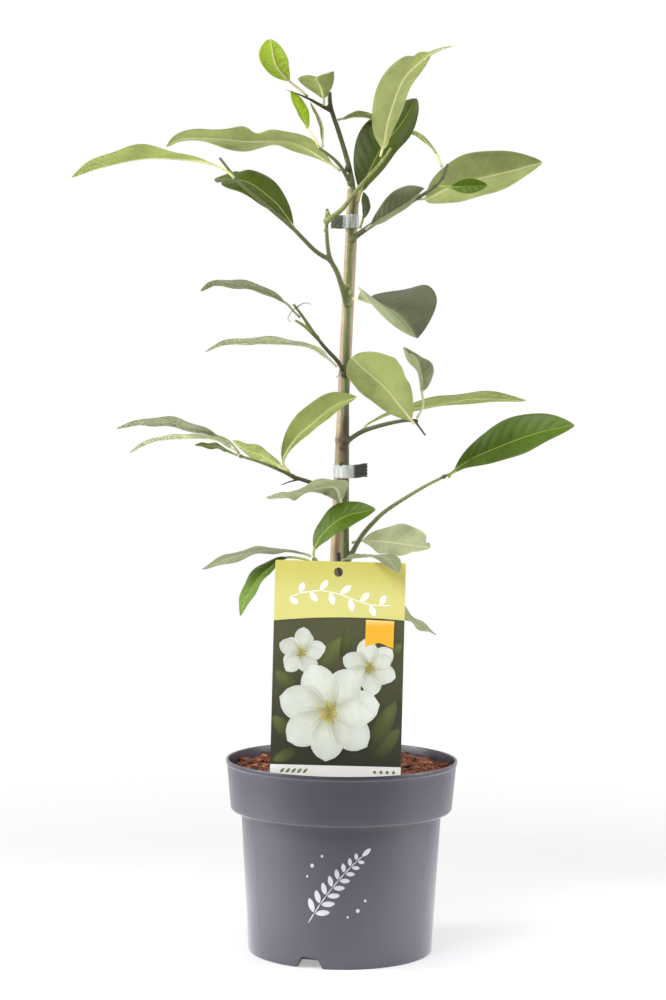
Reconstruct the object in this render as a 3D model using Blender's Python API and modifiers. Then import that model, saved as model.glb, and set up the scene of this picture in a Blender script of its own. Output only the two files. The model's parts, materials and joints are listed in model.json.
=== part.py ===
"""Potted michelia: a young evergreen shrub tied to a bamboo cane in a round nursery pot.

Blender 4.5, metres, +Z up. The origin is the centre of the pot's foot on the ground, the front is -Y.
Sizes below are millimetres, and MM turns them into metres.
"""
import math
from dataclasses import dataclass

import bmesh
import bpy
from mathutils import Matrix, Vector, noise

MM = 0.001
GAP = 0.4                     # clearance left between pieces that touch

# Pot
POT_HEIGHT = 157.4
RIM_RADIUS = 95.0
COLLAR_HEIGHT = 41.0          # deep band under the rim
COLLAR_FOOT_RADIUS = 91.2
WALL_TOP_RADIUS = 82.4        # the wall below the collar
FOOT_RADIUS = 75.8
POT_WALL = 1.8
FLOOR = 2.2
CHANNEL_HEIGHT = 5.0          # raised drainage ring in the floor
CHANNEL_INNER = 46.0
CHANNEL_OUTER = 70.0
POT_STEPS = 44
NOTCH_COUNT = 3
NOTCH_FOOT = 22.0
NOTCH_TOP = 13.0
NOTCH_HEIGHT = 9.0
NOTCH_TURN = -19.0            # degrees from the front towards the left

# Soil
SOIL_TOP = 149.5
SOIL_RELIEF = 2.2
SOIL_STEPS = 44

# Bamboo cane: a straight pole that leans a little to the right
CANE_RADIUS = 4.9
CANE_DEPTH = 5.5              # behind the pot's axis
CANE_FOOT = 52.0
CANE_TOP = 626.0
CANE_NODE = 420.0
CANE_NODE_RISE = 0.6
CANE_LEAN = 0.0374
CANE_AXIS_X = -18.5           # where its line meets the ground

# Card label on a pointed stake
LABEL_WIDTH = 104.0
LABEL_HEIGHT = 172.0
LABEL_FOOT = 153.5
LABEL_THICK = 0.8
LABEL_FRONT = 70.0            # its foot's distance in front of the axis
LABEL_BACK_TILT = 2.67        # degrees, top towards the stem
LABEL_SIDE_TILT = 0.9
LABEL_MIDDLE = -5.4
LABEL_CORNER = 1.5
LABEL_HOLE_RADIUS = 3.7
LABEL_HOLE_DOWN = 8.5
STAKE_WIDTH = 26.0
STAKE_LENGTH = 62.0

# Tape ties round stem and cane
TIE_THICK = 0.7
TIE_HEIGHT = 11.0

# Leaf blades
BLADE_EDGE = 0.7
RIB_THICK = 1.6
PETIOLE_THICK = 2.0
PETIOLE_HALF = 1.0
DRIP_HALF = 1.8
LEAF_COLUMNS = 4

POT_GREY = (0.105, 0.10, 0.125)
SOIL_BROWN = (0.16, 0.055, 0.03)
CANE_TAN = (0.62, 0.42, 0.27)
STEM_GREEN = (0.22, 0.26, 0.10)
LABEL_YELLOW = (0.80, 0.75, 0.24)
TIE_GREY = (0.55, 0.58, 0.55)
LEAF_TONES = {
    "dark": (0.075, 0.13, 0.04),
    "pale": (0.30, 0.38, 0.17),
    "sunlit": (0.17, 0.33, 0.035),
    "young": (0.42, 0.60, 0.06),
}


@dataclass
class Leaf:
    """One leaf: its midrib from the twig to the tip, and how its blade is held."""

    name: str
    rib: list                 # midrib points, mm
    petiole: float            # bare stalk before the blade, mm
    width: float
    facing: tuple             # direction of the upper side
    fold: float = 20.0        # degrees that each half rises from flat
    cup: float = 18.0         # degrees that each half bends back to its margin
    twist: float = 0.0        # degrees from base to tip
    broadest: float = 0.5     # place of the greatest width, 0 base to 1 tip
    wave: float = 0.8         # ripple of the margin, mm
    rows: int = 9
    trim: float = 0.0         # start left off, where the stalk meets a twig
    blunt: float = 0.75       # lower is rounder
    drip: float = 0.0         # share of the blade that is a thin drawn-out tip
    tone: str = "pale"


LEAVES = [
    Leaf("leaf_crown_round", [(-30, -9, 696), (-40, -7, 705), (-48, -8, 711), (-59, -16, 724), (-63, -27, 742)],
         24, 27, (0.4, 0.6, 0.7), fold=6, twist=-10, broadest=0.57, trim=4.0, blunt=0.6, wave=0.3, tone="young"),
    Leaf("leaf_crown_slim", [(-22, -14, 655), (-27, -15, 664), (-33, -14, 673), (-39, -13, 685), (-47, -11, 703)],
         20, 17, (0.7, -0.6, 0.4), fold=29, twist=-12, trim=2.6, wave=0.3, rows=7, tone="young"),
    Leaf("leaf_crown_heart", [(-20, -9.8, 691.5), (-20, -10.5, 697), (-22, -15, 705), (-26, -27, 711), (-25, -44, 710)],
         5, 30, (-0.1, 0.6, 0.8), fold=23, cup=24, twist=5, broadest=0.54, rows=8),
    Leaf("leaf_crown_sickle", [(-20.5, -12.5, 657.5), (-21, -12, 664), (-21, -8, 674), (-25, -2, 685), (-31, 0, 695)],
         5, 12, (-0.9, 0.2, -0.2), fold=22, twist=-7, wave=0.2, rows=7),
    Leaf("leaf_high_left", [(-3, -3, 637), (-21, -3, 650), (-46, -6, 662), (-80, -10, 662), (-109, -13, 664),
                            (-135, -16, 663), (-147, -18, 656)],
         12, 34, (0.0, 0.4, 0.9), fold=19, broadest=0.48, wave=3.0, rows=13, trim=4.0),
    Leaf("leaf_far_left", [(-90, -38, 629), (-98, -39, 636), (-118, -38, 643), (-159, -40, 645), (-194, -41, 638),
                           (-221, -39, 629)],
         18, 30, (0.0, 0.2, 1.0), fold=38, cup=15, twist=-19, broadest=0.63, wave=1.6, rows=12, trim=1.2, blunt=0.9),
    Leaf("leaf_left_dark", [(-42, -21, 590), (-47, -17, 598), (-59, -13, 613), (-79, -8, 628), (-95, 0, 632),
                            (-109, 10, 633)],
         4, 35, (0.3, -0.7, 0.7), fold=16, cup=22, twist=-7, broadest=0.56, rows=10, trim=2.4, tone="dark"),
    Leaf("leaf_top_pale", [(26, -27.5, 649), (28, -28.5, 657), (33, -30, 682), (44, -30, 711), (61, -29, 728),
                           (73, -29, 735), (85, -30, 738)],
         7, 36, (-0.6, 0.7, 0.3), fold=24, cup=13, twist=-14, broadest=0.46, wave=0.6, rows=13, blunt=0.65, drip=0.19),
    Leaf("leaf_top_dark", [(8.5, -3.5, 614), (12.5, -1.5, 627), (26, 4, 656), (44, 11, 680), (56, 17, 701)],
         9, 47, (-0.4, -0.8, 0.4), fold=26, cup=7, twist=-5, broadest=0.53, rows=10, tone="dark"),
    Leaf("leaf_top_hidden", [(-9, 0, 681), (-4, 2, 682.5), (5, 4, 684.5), (15, 6, 684), (23, 8, 681.5)],
         5, 14, (0.0, 0.2, 1.0), fold=30, twist=-12, wave=0.3, rows=6, trim=0.6),
    Leaf("leaf_hub_thin", [(76.5, -9, 642), (73, -9, 652), (67, -8, 660), (61, -6, 666), (55, -4, 670), (49, -3, 671)],
         12, 15, (0.7, 0.1, 0.7), fold=15, cup=30, twist=8, wave=0.2, rows=6, trim=0.6),
    Leaf("leaf_right_broad", [(56, -8, 616.5), (66, -2, 618.5), (84, 8, 628), (109, 15, 636), (132, 17, 642),
                              (160, 17, 650)],
         8, 44, (-0.3, 0.9, 0.4), fold=25, cup=0, twist=4, broadest=0.49, wave=1.6, rows=12, trim=2.2),
    Leaf("leaf_right_folded", [(12, -3, 590), (21, -16, 596), (35, -25, 605), (49, -24, 614), (62, -16, 625)],
         13, 27, (-0.3, -0.9, 0.3), fold=45, cup=0, twist=-37, broadest=0.6, rows=8, trim=6.2),
    Leaf("leaf_right_glossy", [(72, -12, 628), (78, -14, 626.5), (86, -15, 626.5), (99, -17, 627), (113, -18, 628)],
         12, 13, (-0.1, -1.0, 0.1), fold=24, cup=11, wave=0.3, rows=6, trim=2.6, tone="sunlit"),
    Leaf("leaf_stem_small", [(10.5, -6.3, 593), (12, -7.5, 598), (14.5, -9, 608), (13, -10, 622)],
         8, 14, (0.9, -0.5, 0.0), fold=22, cup=28, twist=-10, wave=0.2, rows=6, tone="dark"),
    Leaf("leaf_mid_left_arched", [(-37.5, -16.8, 519.8), (-43, -16, 525), (-50, -18, 532), (-70, -22, 541),
                                  (-94, -24, 545), (-108, -24, 545), (-118, -24, 540)],
         18, 28, (0.2, 0.2, 0.9), fold=16, rows=10),
    Leaf("leaf_mid_left_flat", [(-7.5, -9.5, 480.5), (-16, -14, 488), (-33, -20, 497), (-68, -28, 498.5),
                                (-97, -34, 497), (-113, -40, 491)],
         9, 36, (0.1, 0.1, 1.0), fold=21, cup=24, twist=34, broadest=0.40, wave=1.4, rows=11),
    Leaf("leaf_mid_right_drooping", [(3.5, -6.5, 536), (11, -12, 535), (23, -24, 531), (40, -49, 522),
                                     (56, -73, 503)],
         9, 72, (0.0, -0.2, 1.0), fold=32, cup=0, twist=27, broadest=0.56, rows=10, trim=2.4, blunt=0.62, tone="dark"),
    Leaf("leaf_centre_pale", [(56, -18, 434.5), (46, -19, 447), (32, -20, 464), (16, -24, 477.5), (4.5, -28, 488)],
         4, 44, (0.2, 0.9, 0.4), fold=19, cup=6, twist=-11, broadest=0.6, rows=9, blunt=0.52),
    Leaf("leaf_centre_upright", [(57, -15, 437), (63, -13, 449), (62, -12, 462), (59, -8, 477), (51, -1, 486),
                                 (47, 4, 497)],
         25, 28, (0.8, -0.5, 0.3), fold=50, cup=18, twist=-4, broadest=0.5, rows=8, trim=2.6),
    Leaf("leaf_centre_long", [(15, -4, 429.5), (22, 3, 436), (45, 11, 445), (79, 18, 451), (112, 22, 456),
                              (150, 26, 454)],
         6, 29, (-0.2, 0.3, 0.9), fold=14, twist=-21, broadest=0.46, wave=1.2, rows=12),
    Leaf("leaf_right_sunlit", [(84, -23, 391.5), (88, -24, 396.5), (103, -26, 407), (130, -29, 419), (157, -35, 429),
                               (184, -41, 435)],
         7, 39, (-0.4, -0.8, 0.5), fold=21, cup=5, twist=-21, broadest=0.56, rows=11, tone="sunlit"),
    Leaf("leaf_left_rising", [(-42, -16, 392), (-50, -19, 403), (-41, -23, 421), (-27, -24, 434), (-10, -24, 448),
                              (9, -23, 456)],
         14, 31, (-0.5, 0.7, 0.6), fold=28, cup=15, broadest=0.56, rows=10, trim=4.8, tone="sunlit"),
    Leaf("leaf_low_left_outer", [(-84, -20, 407), (-94, -20, 419), (-106, -22, 424), (-132, -29, 430),
                                 (-157, -38, 433), (-183, -46, 429)],
         26, 28, (0.1, 0.3, 0.9), fold=19, wave=1.2, rows=10, trim=2.4),
    Leaf("leaf_low_left_thin", [(-85, -18, 408), (-93, -12, 413.5), (-106, -6, 420), (-127, -1, 421), (-156, 4, 418),
                                (-177, 6, 408)],
         10, 25, (0.1, 0.0, 1.0), fold=20, twist=18, rows=9, trim=2.2),
    Leaf("leaf_low_left_tip", [(-85, -20.5, 406.5), (-92, -23.5, 410), (-103, -28.5, 414.5), (-121, -35, 416)],
         6, 16, (-0.3, -0.4, 0.9), fold=12, twist=7, broadest=0.58, rows=7, trim=2.6),
    Leaf("leaf_low_left_inner", [(-44, -12.4, 393.4), (-54, -10, 400), (-68, -7, 408), (-82, -4, 413), (-92, 0, 419)],
         7, 23, (0.4, 0.5, 0.8), fold=10, twist=-11, broadest=0.56, rows=8, tone="sunlit"),
    Leaf("leaf_low_twisted", [(-2.4, -8.8, 367), (-4, -16, 374), (-9, -24, 383), (-25, -34, 382), (-43, -42, 377),
                              (-63, -50, 375)],
         6, 36, (-0.4, 0.2, 0.9), fold=14, cup=23, twist=-3, wave=1.8, rows=10),
    Leaf("leaf_low_bright", [(-24, -25, 324), (-24, -24, 332), (-16, -27, 346), (0, -33, 359), (25, -40, 366)],
         8, 28, (-0.7, -0.6, 0.4), fold=19, twist=-5, rows=9, trim=2.4, tone="sunlit"),
    Leaf("leaf_low_left_long", [(-25, -25, 324.5), (-30, -26, 328), (-45, -27, 331), (-66, -31, 331),
                                (-90, -35, 326), (-114, -38, 316)],
         8, 33, (0.0, -0.1, 1.0), fold=13, cup=26, twist=-14, wave=1.6, rows=10, trim=2.6, tone="dark"),
    Leaf("leaf_low_left_hanging", [(-25, -25.5, 321.5), (-35, -29, 325), (-49, -33, 325), (-66, -37, 312),
                                   (-77, -40, 295), (-83, -41, 279)],
         22, 30, (-0.5, -0.3, 0.8), fold=21, cup=27, rows=9, trim=2.8, tone="sunlit"),
    Leaf("leaf_low_right_pale", [(6.6, -1.5, 336.3), (14, -2.5, 338), (29, 0, 338), (47, 9, 335.5), (72, 25, 331)],
         9, 38, (-0.2, 0.7, 0.7), fold=16, cup=12, wave=1.2, rows=9),
    Leaf("leaf_over_label", [(-1.5, -9.4, 322.5), (5, -18, 325), (18, -38, 328), (32, -60, 328.8), (43, -79, 318.5)],
         8, 30, (0.0, 0.1, 1.0), fold=8, cup=10, twist=4, wave=0.6, rows=9),
    Leaf("leaf_behind_label", [(5, -4, 296), (26, -15, 293), (47, -27, 281), (60, -33, 273), (75, -39, 265)],
         30, 27, (0.6, 0.3, 0.7), fold=13, twist=14, wave=1.8, rows=8, trim=2.6, tone="dark"),
]

# The woody frame: each stem's points and its radius at both ends
MAIN_STEM = ([(2.0, -3.0, 108), (3.1, -4, 157), (1.6, -4, 250), (0.9, -4, 338), (0.4, -4, 420), (0.3, -4, 453),
              (0.2, -4, 486), (1.3, -4, 535), (2.5, -4, 575), (3.1, -4, 600), (4.5, -3, 624), (1.0, -3, 643),
              (-6.6, -4, 668), (-14.1, -5, 690), (-15.5, -5, 703)], 4.4, 1.9)
SHOOTS = {
    "left_fork": ([(0.5, -5, 530), (-3.7, -9, 545), (-7.9, -12, 557), (-13.3, -14, 567), (-15.8, -15, 579),
                   (-16.8, -16, 597), (-16.3, -16, 608)], 2.6, 1.3),
    "left_fork_twig": ([(-13.3, -14, 566.5), (-26, -18, 574), (-44, -24, 591.5), (-63, -30, 607), (-86, -36, 626),
                        (-103, -33, 646.5)], 2.0, 1.2),
    "crossing_twig": ([(-17.0, -15, 597), (-13, -18, 600.5), (-3.6, -20, 608), (7.6, -22, 623), (19.5, -25, 636.5),
                       (27.5, -28, 645.5), (34.5, -34, 655.5)], 2.3, 1.1),
    "high_twig": ([(2.5, -3, 629), (-4, -8, 640), (-11, -11, 648), (-21.8, -14, 656)], 2.0, 1.2),
    "crown_twig": ([(-13.5, -5, 687.5), (-24.5, -7, 693), (-30.5, -9, 696)], 1.9, 1.2),
    "crown_bract": ([(-28, -8.5, 695), (-39, -12, 699.5), (-51, -14, 703.5)], 1.3, 0.4),
    "right_twig": ([(3.5, -3, 584), (22.5, -5, 597.5), (43, -8, 609.5), (59, -10, 619), (70, -11, 626.5),
                    (77, -11, 634.5), (81, -11, 645.5)], 2.5, 1.2),
    "mid_left_twig": ([(0, -4, 473), (-6, -9, 484), (-14.5, -13, 493), (-23, -16, 503), (-36, -19, 521.5),
                       (-43, -20, 530.5)], 2.0, 1.1),
    "mid_left_shoot": ([(-22, -15.5, 502), (-34, -19, 513), (-41.5, -21, 517.5)], 1.6, 1.2),
    "mid_right_twig": ([(1, -4, 419), (14.5, -7, 428), (35, -11, 434.5), (51, -14, 437.5), (58, -15, 436.5)], 2.2, 1.5),
    "mid_right_stub": ([(56.5, -15, 437), (65.5, -16, 425)], 1.1, 0.8),
    "low_right_branch": ([(1.5, -4, 317), (13, -8, 340), (24, -11, 354), (36, -13, 365), (62, -17, 382),
                          (80.5, -20, 392), (96, -22, 399.5)], 2.4, 1.1),
    "low_left_branch": ([(0, -4, 373), (-22.5, -11, 384), (-41.5, -15, 390.5), (-49.5, -16, 394.5), (-66.5, -18, 401.5),
                         (-84.5, -20, 407)], 2.2, 1.2),
    "low_left_stub": ([(-38, -14, 388), (-45, -17, 386.5), (-51, -20, 384)], 0.9, 0.6),
    "low_front_shoot": ([(1, -4, 286), (-11, -16, 309), (-23.5, -25, 324)], 2.2, 1.6),
    "dried_stub": ([(0.5, -5, 300), (-3.4, -13, 315), (-4.4, -14, 329)], 2.4, 2.0),
}

PLANT = bpy.data.collections.new("potted_michelia")
CUTTERS = bpy.data.collections.new("cutters")


def clear_scene():
    """Start from an empty scene with one collection for the plant and one for the cutters."""
    for thing in list(bpy.data.objects):
        bpy.data.objects.remove(thing, do_unlink=True)
    bpy.context.scene.collection.children.link(PLANT)
    bpy.context.scene.collection.children.link(CUTTERS)


def finish_material(name, colour, roughness):
    """Principled material of one plain colour."""
    found = bpy.data.materials.get(name)
    if found:
        return found
    made = bpy.data.materials.new(name)
    made.use_nodes = True
    shader = made.node_tree.nodes["Principled BSDF"]
    shader.inputs["Base Color"].default_value = (*colour, 1.0)
    shader.inputs["Roughness"].default_value = roughness
    shader.inputs["Metallic"].default_value = 0.0
    return made


def add_object(name, data, material=None, collection=None):
    """Link an object to the plant's collection and give it its material."""
    made = bpy.data.objects.new(name, data)
    (collection or PLANT).objects.link(made)
    if material:
        data.materials.append(material)
    return made


def as_cutter(thing):
    """Keep a cutter out of the built object."""
    thing.hide_render = True
    thing.display_type = "WIRE"
    return thing


def to_mesh_object(source, collection=None):
    """Replace a curve or a modified object by its evaluated, welded mesh."""
    bpy.context.view_layer.update()
    graph = bpy.context.evaluated_depsgraph_get()
    mesh = bpy.data.meshes.new_from_object(source.evaluated_get(graph))
    shape = bmesh.new()
    shape.from_mesh(mesh)
    bmesh.ops.remove_doubles(shape, verts=shape.verts, dist=1e-6)
    bmesh.ops.recalc_face_normals(shape, faces=shape.faces)
    shape.to_mesh(mesh)
    shape.free()
    name = source.name
    made = bpy.data.objects.new(name + "_mesh", mesh)
    made.matrix_world = source.matrix_world
    (collection or source.users_collection[0]).objects.link(made)
    bpy.data.objects.remove(source, do_unlink=True)
    made.name = name
    return made


def cut(target, cutter, operation="DIFFERENCE"):
    """Add an exact Boolean with one operand."""
    boolean = target.modifiers.new(operation.lower(), "BOOLEAN")
    boolean.operation = operation
    boolean.object = cutter
    boolean.solver = "EXACT"


def smooth_path(points, spacing):
    """Points about one spacing apart on a smooth curve through the given points."""
    knots = [Vector(p) for p in points]
    ends = [2 * knots[0] - knots[1]] + knots + [2 * knots[-1] - knots[-2]]
    path = []
    for a, b, c, d in zip(ends, ends[1:], ends[2:], ends[3:]):
        steps = max(1, round((c - b).length / spacing))
        for k in range(steps):
            t = k / steps
            path.append(0.5 * (2 * b + (c - a) * t + (2 * a - 5 * b + 4 * c - d) * t ** 2
                               + (3 * b - a - 3 * c + d) * t ** 3))
    path.append(knots[-1])
    return path


def tube(name, points, start_radius, end_radius, spacing=12.0, sides_step=1, collection=None):
    """Tapered tube with filled caps along a smooth curve; returns its closed mesh object."""
    path = smooth_path(points, spacing)
    curve = bpy.data.curves.new(name, "CURVE")
    curve.dimensions = "3D"
    curve.bevel_depth = MM
    curve.bevel_resolution = sides_step
    curve.use_fill_caps = True
    spline = curve.splines.new("POLY")
    spline.points.add(len(path) - 1)
    for i, place in enumerate(path):
        share = i / (len(path) - 1)
        spline.points[i].co = (*(place * MM), 1.0)
        spline.points[i].radius = start_radius + (end_radius - start_radius) * share
    return to_mesh_object(add_object(name, curve, collection=collection))


def turned(name, profile, steps, material=None):
    """Solid of revolution: a profile of radius and height, down its outer side, with a Screw modifier."""
    mesh = bpy.data.meshes.new(name)
    shape = bmesh.new()
    corners = [shape.verts.new((r * MM, 0, z * MM)) for r, z in profile]
    for lower, upper in zip(corners, corners[1:]):
        shape.edges.new((lower, upper))
    shape.to_mesh(mesh)
    shape.free()
    made = add_object(name, mesh, material)
    screw = made.modifiers.new("turn", "SCREW")
    screw.steps = steps
    screw.render_steps = steps
    screw.use_merge_vertices = True
    screw.merge_threshold = 0.00001
    return made


def pot_inner_profile(inset):
    """Inside of the pot from the floor's centre to the rim, moved in by inset."""
    rim_inner = RIM_RADIUS - POT_WALL
    step = POT_HEIGHT - COLLAR_HEIGHT
    return [
        (0, FLOOR + inset),
        (CHANNEL_INNER - 1 - inset, FLOOR + inset),
        (CHANNEL_INNER + 3 - inset, CHANNEL_HEIGHT + FLOOR + inset),
        (FOOT_RADIUS - POT_WALL - 3 - inset, CHANNEL_HEIGHT + FLOOR + inset),
        (FOOT_RADIUS - POT_WALL + 0.5 - inset, CHANNEL_HEIGHT + FLOOR + 4 + inset),
        (WALL_TOP_RADIUS - POT_WALL - inset, step + POT_WALL + inset),
        (COLLAR_FOOT_RADIUS - POT_WALL - inset, step + POT_WALL + 1.2 + inset),
        (rim_inner - inset, POT_HEIGHT),
    ]


def build_pot():
    """Round pot with a deep collar, a raised drainage ring and notches in its foot."""
    step = POT_HEIGHT - COLLAR_HEIGHT
    outside = [
        (RIM_RADIUS - POT_WALL + 0.5, POT_HEIGHT + 0.5),
        (RIM_RADIUS - 0.2, POT_HEIGHT + 0.5),
        (RIM_RADIUS + 0.3, POT_HEIGHT - 0.4),
        (RIM_RADIUS + 0.1, POT_HEIGHT - 2.4),
        (RIM_RADIUS - 0.5, POT_HEIGHT - 3.0),
        (COLLAR_FOOT_RADIUS, step + 1.2),
        (COLLAR_FOOT_RADIUS - 1.0, step),
        (WALL_TOP_RADIUS, step - 0.6),
        (FOOT_RADIUS + 0.2, 4.0),
        (FOOT_RADIUS - 0.9, 0.9),
        (FOOT_RADIUS - 2.2, 0),
        (CHANNEL_OUTER + 1.0, 0),
        (CHANNEL_OUTER, CHANNEL_HEIGHT),
        (CHANNEL_INNER + 4, CHANNEL_HEIGHT),
        (CHANNEL_INNER, 0),
        (0, 0),
    ]
    pot = turned("pot", pot_inner_profile(0) + outside, POT_STEPS, finish_material("pot_plastic", POT_GREY, 0.42))
    for k in range(NOTCH_COUNT):
        cut(pot, notch_cutter(k))
    return pot


def notch_cutter(index):
    """Tapered block that cuts one drain notch through the foot of the wall."""
    shape = bmesh.new()
    bmesh.ops.create_cube(shape, size=1.0)
    for vert in shape.verts:
        width = NOTCH_TOP if vert.co.z > 0 else NOTCH_FOOT + 2.4
        height = NOTCH_HEIGHT if vert.co.z > 0 else -1.5
        reach = FOOT_RADIUS + 6 if vert.co.y < 0 else FOOT_RADIUS - 8.5
        side = 1 if vert.co.x > 0 else -1
        vert.co = Vector((side * width / 2, -reach, height)) * MM
    name = f"notch_cutter_{index}"
    mesh = bpy.data.meshes.new(name)
    shape.to_mesh(mesh)
    shape.free()
    cutter = as_cutter(add_object(name, mesh, collection=CUTTERS))
    cutter.rotation_euler.z = math.radians(NOTCH_TURN + 360 / NOTCH_COUNT * index)
    return cutter


def stem_at(height):
    """Centre of the main stem at a height inside the pot."""
    points = MAIN_STEM[0]
    low, high = Vector(points[0]), Vector(points[1])
    return low.lerp(high, (height - low.z) / (high.z - low.z))


def cane_at(height):
    """Centre of the cane at a height."""
    return Vector((CANE_AXIS_X + CANE_LEAN * height, CANE_DEPTH, height))


def straight_cutter(name, low, high, radius):
    """Round cutter between two points."""
    axis = (high - low) * MM
    shape = bmesh.new()
    bmesh.ops.create_cone(shape, cap_ends=True, segments=16, radius1=radius * MM, radius2=radius * MM,
                          depth=axis.length)
    mesh = bpy.data.meshes.new(name)
    shape.to_mesh(mesh)
    shape.free()
    cutter = as_cutter(add_object(name, mesh, collection=CUTTERS))
    cutter.matrix_world = Matrix.Translation((low + high) / 2 * MM) @ axis.to_track_quat("Z", "Y").to_matrix().to_4x4()
    return cutter


def build_soil():
    """Coir soil that fills the pot, with a rough top and plain holes for stem, cane and stake."""
    sides = pot_inner_profile(GAP)[:-1]
    top_radius = RIM_RADIUS - POT_WALL - 1.0
    rings = [top_radius - 0.8] + [top_radius * share for share in (0.9, 0.79, 0.67, 0.54, 0.4, 0.26, 0.12)]
    outline = [(0, SOIL_TOP)] + [(r, SOIL_TOP) for r in reversed(rings)] + [(top_radius - GAP, SOIL_TOP - 3)]
    material = finish_material("coir_soil", SOIL_BROWN, 0.9)
    soil = to_mesh_object(turned("soil", outline + list(reversed(sides)), SOIL_STEPS, material))
    for vert in soil.data.vertices:
        if vert.co.z > (SOIL_TOP - 1) * MM:
            seed = Vector((vert.co.x, vert.co.y, 0)) * 70
            rough = noise.noise(seed) + 0.5 * noise.noise(seed * 2.3)
            vert.co.z += SOIL_RELIEF * rough * MM
    above = SOIL_TOP + 12
    cut(soil, straight_cutter("stem_hole", stem_at(105), stem_at(above), MAIN_STEM[1] + 2 * GAP))
    cut(soil, straight_cutter("cane_hole", cane_at(CANE_FOOT - 3), cane_at(above), CANE_RADIUS + 2 * GAP))
    cut(soil, stake_slot())
    return soil


def label_frame():
    """Place of the label: its foot's middle, local X along the card, local Y up the card, Z to the front."""
    stand = Matrix.Rotation(math.radians(90), 4, "X")
    tilt = Matrix.Rotation(math.radians(-LABEL_BACK_TILT), 4, "X")
    lean = Matrix.Rotation(math.radians(LABEL_SIDE_TILT), 4, "Y")
    place = Matrix.Translation(Vector((LABEL_MIDDLE, -LABEL_FRONT, LABEL_FOOT)) * MM)
    return place @ tilt @ lean @ stand


def stake_slot():
    """Slot in the soil that the label's stake slips into."""
    shape = bmesh.new()
    bmesh.ops.create_cube(shape, size=1.0)
    low = -STAKE_LENGTH - 3
    high = 12
    for vert in shape.verts:
        x = math.copysign(STAKE_WIDTH / 2 + 1, vert.co.x)
        y = high if vert.co.y > 0 else low
        z = math.copysign(LABEL_THICK / 2 + 0.6, vert.co.z)
        vert.co = Vector((x, y, z)) * MM
    mesh = bpy.data.meshes.new("stake_slot")
    shape.to_mesh(mesh)
    shape.free()
    cutter = as_cutter(add_object("stake_slot", mesh, collection=CUTTERS))
    cutter.matrix_world = label_frame()
    return cutter


def outline_plate(name, loops, thickness, material):
    """Flat plate from closed outlines, the later ones being holes; returns its closed mesh object."""
    curve = bpy.data.curves.new(name, "CURVE")
    curve.dimensions = "2D"
    curve.fill_mode = "BOTH"
    curve.extrude = thickness / 2 * MM
    for loop in loops:
        spline = curve.splines.new("POLY")
        spline.points.add(len(loop) - 1)
        for point, (x, y) in zip(spline.points, loop):
            point.co = (x * MM, y * MM, 0, 1)
        spline.use_cyclic_u = True
    return to_mesh_object(add_object(name, curve, material))


def arc_points(centre, radius, start, end, count):
    """Points on an arc, degrees counterclockwise."""
    angles = [math.radians(start + (end - start) * k / (count - 1)) for k in range(count)]
    return [(centre[0] + radius * math.cos(a), centre[1] + radius * math.sin(a)) for a in angles]


def build_label():
    """Plastic card with a hole near its top and a pointed stake below."""
    half = LABEL_WIDTH / 2
    c = LABEL_CORNER
    card = arc_points((half - c, c), c, -90, 0, 3) + arc_points((half - c, LABEL_HEIGHT - c), c, 0, 90, 3)
    card += arc_points((c - half, LABEL_HEIGHT - c), c, 90, 180, 3) + arc_points((c - half, c), c, 180, 270, 3)
    stake = [(-STAKE_WIDTH / 2, 0), (-STAKE_WIDTH / 2, -STAKE_LENGTH * 0.6), (0, -STAKE_LENGTH),
             (STAKE_WIDTH / 2, -STAKE_LENGTH * 0.6), (STAKE_WIDTH / 2, 0)]
    hole = arc_points((-1.6, LABEL_HEIGHT - LABEL_HOLE_DOWN), LABEL_HOLE_RADIUS, 0, 337.5, 16)
    material = finish_material("label_card", LABEL_YELLOW, 0.35)
    label = outline_plate("plant_label", [card + stake, hole], LABEL_THICK, material)
    label.matrix_world = label_frame()
    return label


def build_cane():
    """Bamboo cane with one raised node."""
    heights = [CANE_FOOT, 200, 320, CANE_NODE - 4, CANE_NODE - 1, CANE_NODE + 1.5, CANE_NODE + 4, 520, CANE_TOP]
    curve = bpy.data.curves.new("bamboo_cane", "CURVE")
    curve.dimensions = "3D"
    curve.bevel_depth = MM
    curve.bevel_resolution = 4
    curve.use_fill_caps = True
    spline = curve.splines.new("POLY")
    spline.points.add(len(heights) - 1)
    for point, height in zip(spline.points, heights):
        on_node = abs(height - CANE_NODE) < 2
        point.co = (*(cane_at(height) * MM), 1)
        point.radius = CANE_RADIUS + (CANE_NODE_RISE if on_node else 0)
    return to_mesh_object(add_object("bamboo_cane", curve, finish_material("bamboo", CANE_TAN, 0.5)))


def build_stem():
    """Main stem with every side shoot joined to it as one piece."""
    material = finish_material("stem_bark", STEM_GREEN, 0.6)
    stem = tube("main_stem", *MAIN_STEM, spacing=16.0, sides_step=2)
    stem.data.materials.append(material)
    shoots = bpy.data.collections.new("shoots")
    CUTTERS.children.link(shoots)
    for name, (points, start, end) in SHOOTS.items():
        as_cutter(tube(name, points, start, end, spacing=11.0, collection=shoots))
    union = stem.modifiers.new("shoots", "BOOLEAN")
    union.operation = "UNION"
    union.operand_type = "COLLECTION"
    union.collection = shoots
    union.solver = "EXACT"
    joined = to_mesh_object(stem)
    for shoot in list(shoots.objects):
        bpy.data.objects.remove(shoot, do_unlink=True)
    return joined


def belt_outline(centres, radii, steps=28):
    """Outline of a belt drawn tight round two circles."""
    outline = []
    for k in range(steps):
        angle = 2 * math.pi * k / steps
        aim = Vector((math.cos(angle), math.sin(angle)))
        reach = [c.dot(aim) + r for c, r in zip(centres, radii)]
        i = 0 if reach[0] > reach[1] else 1
        outline.append(centres[i] + radii[i] * aim)
    return outline


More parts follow.
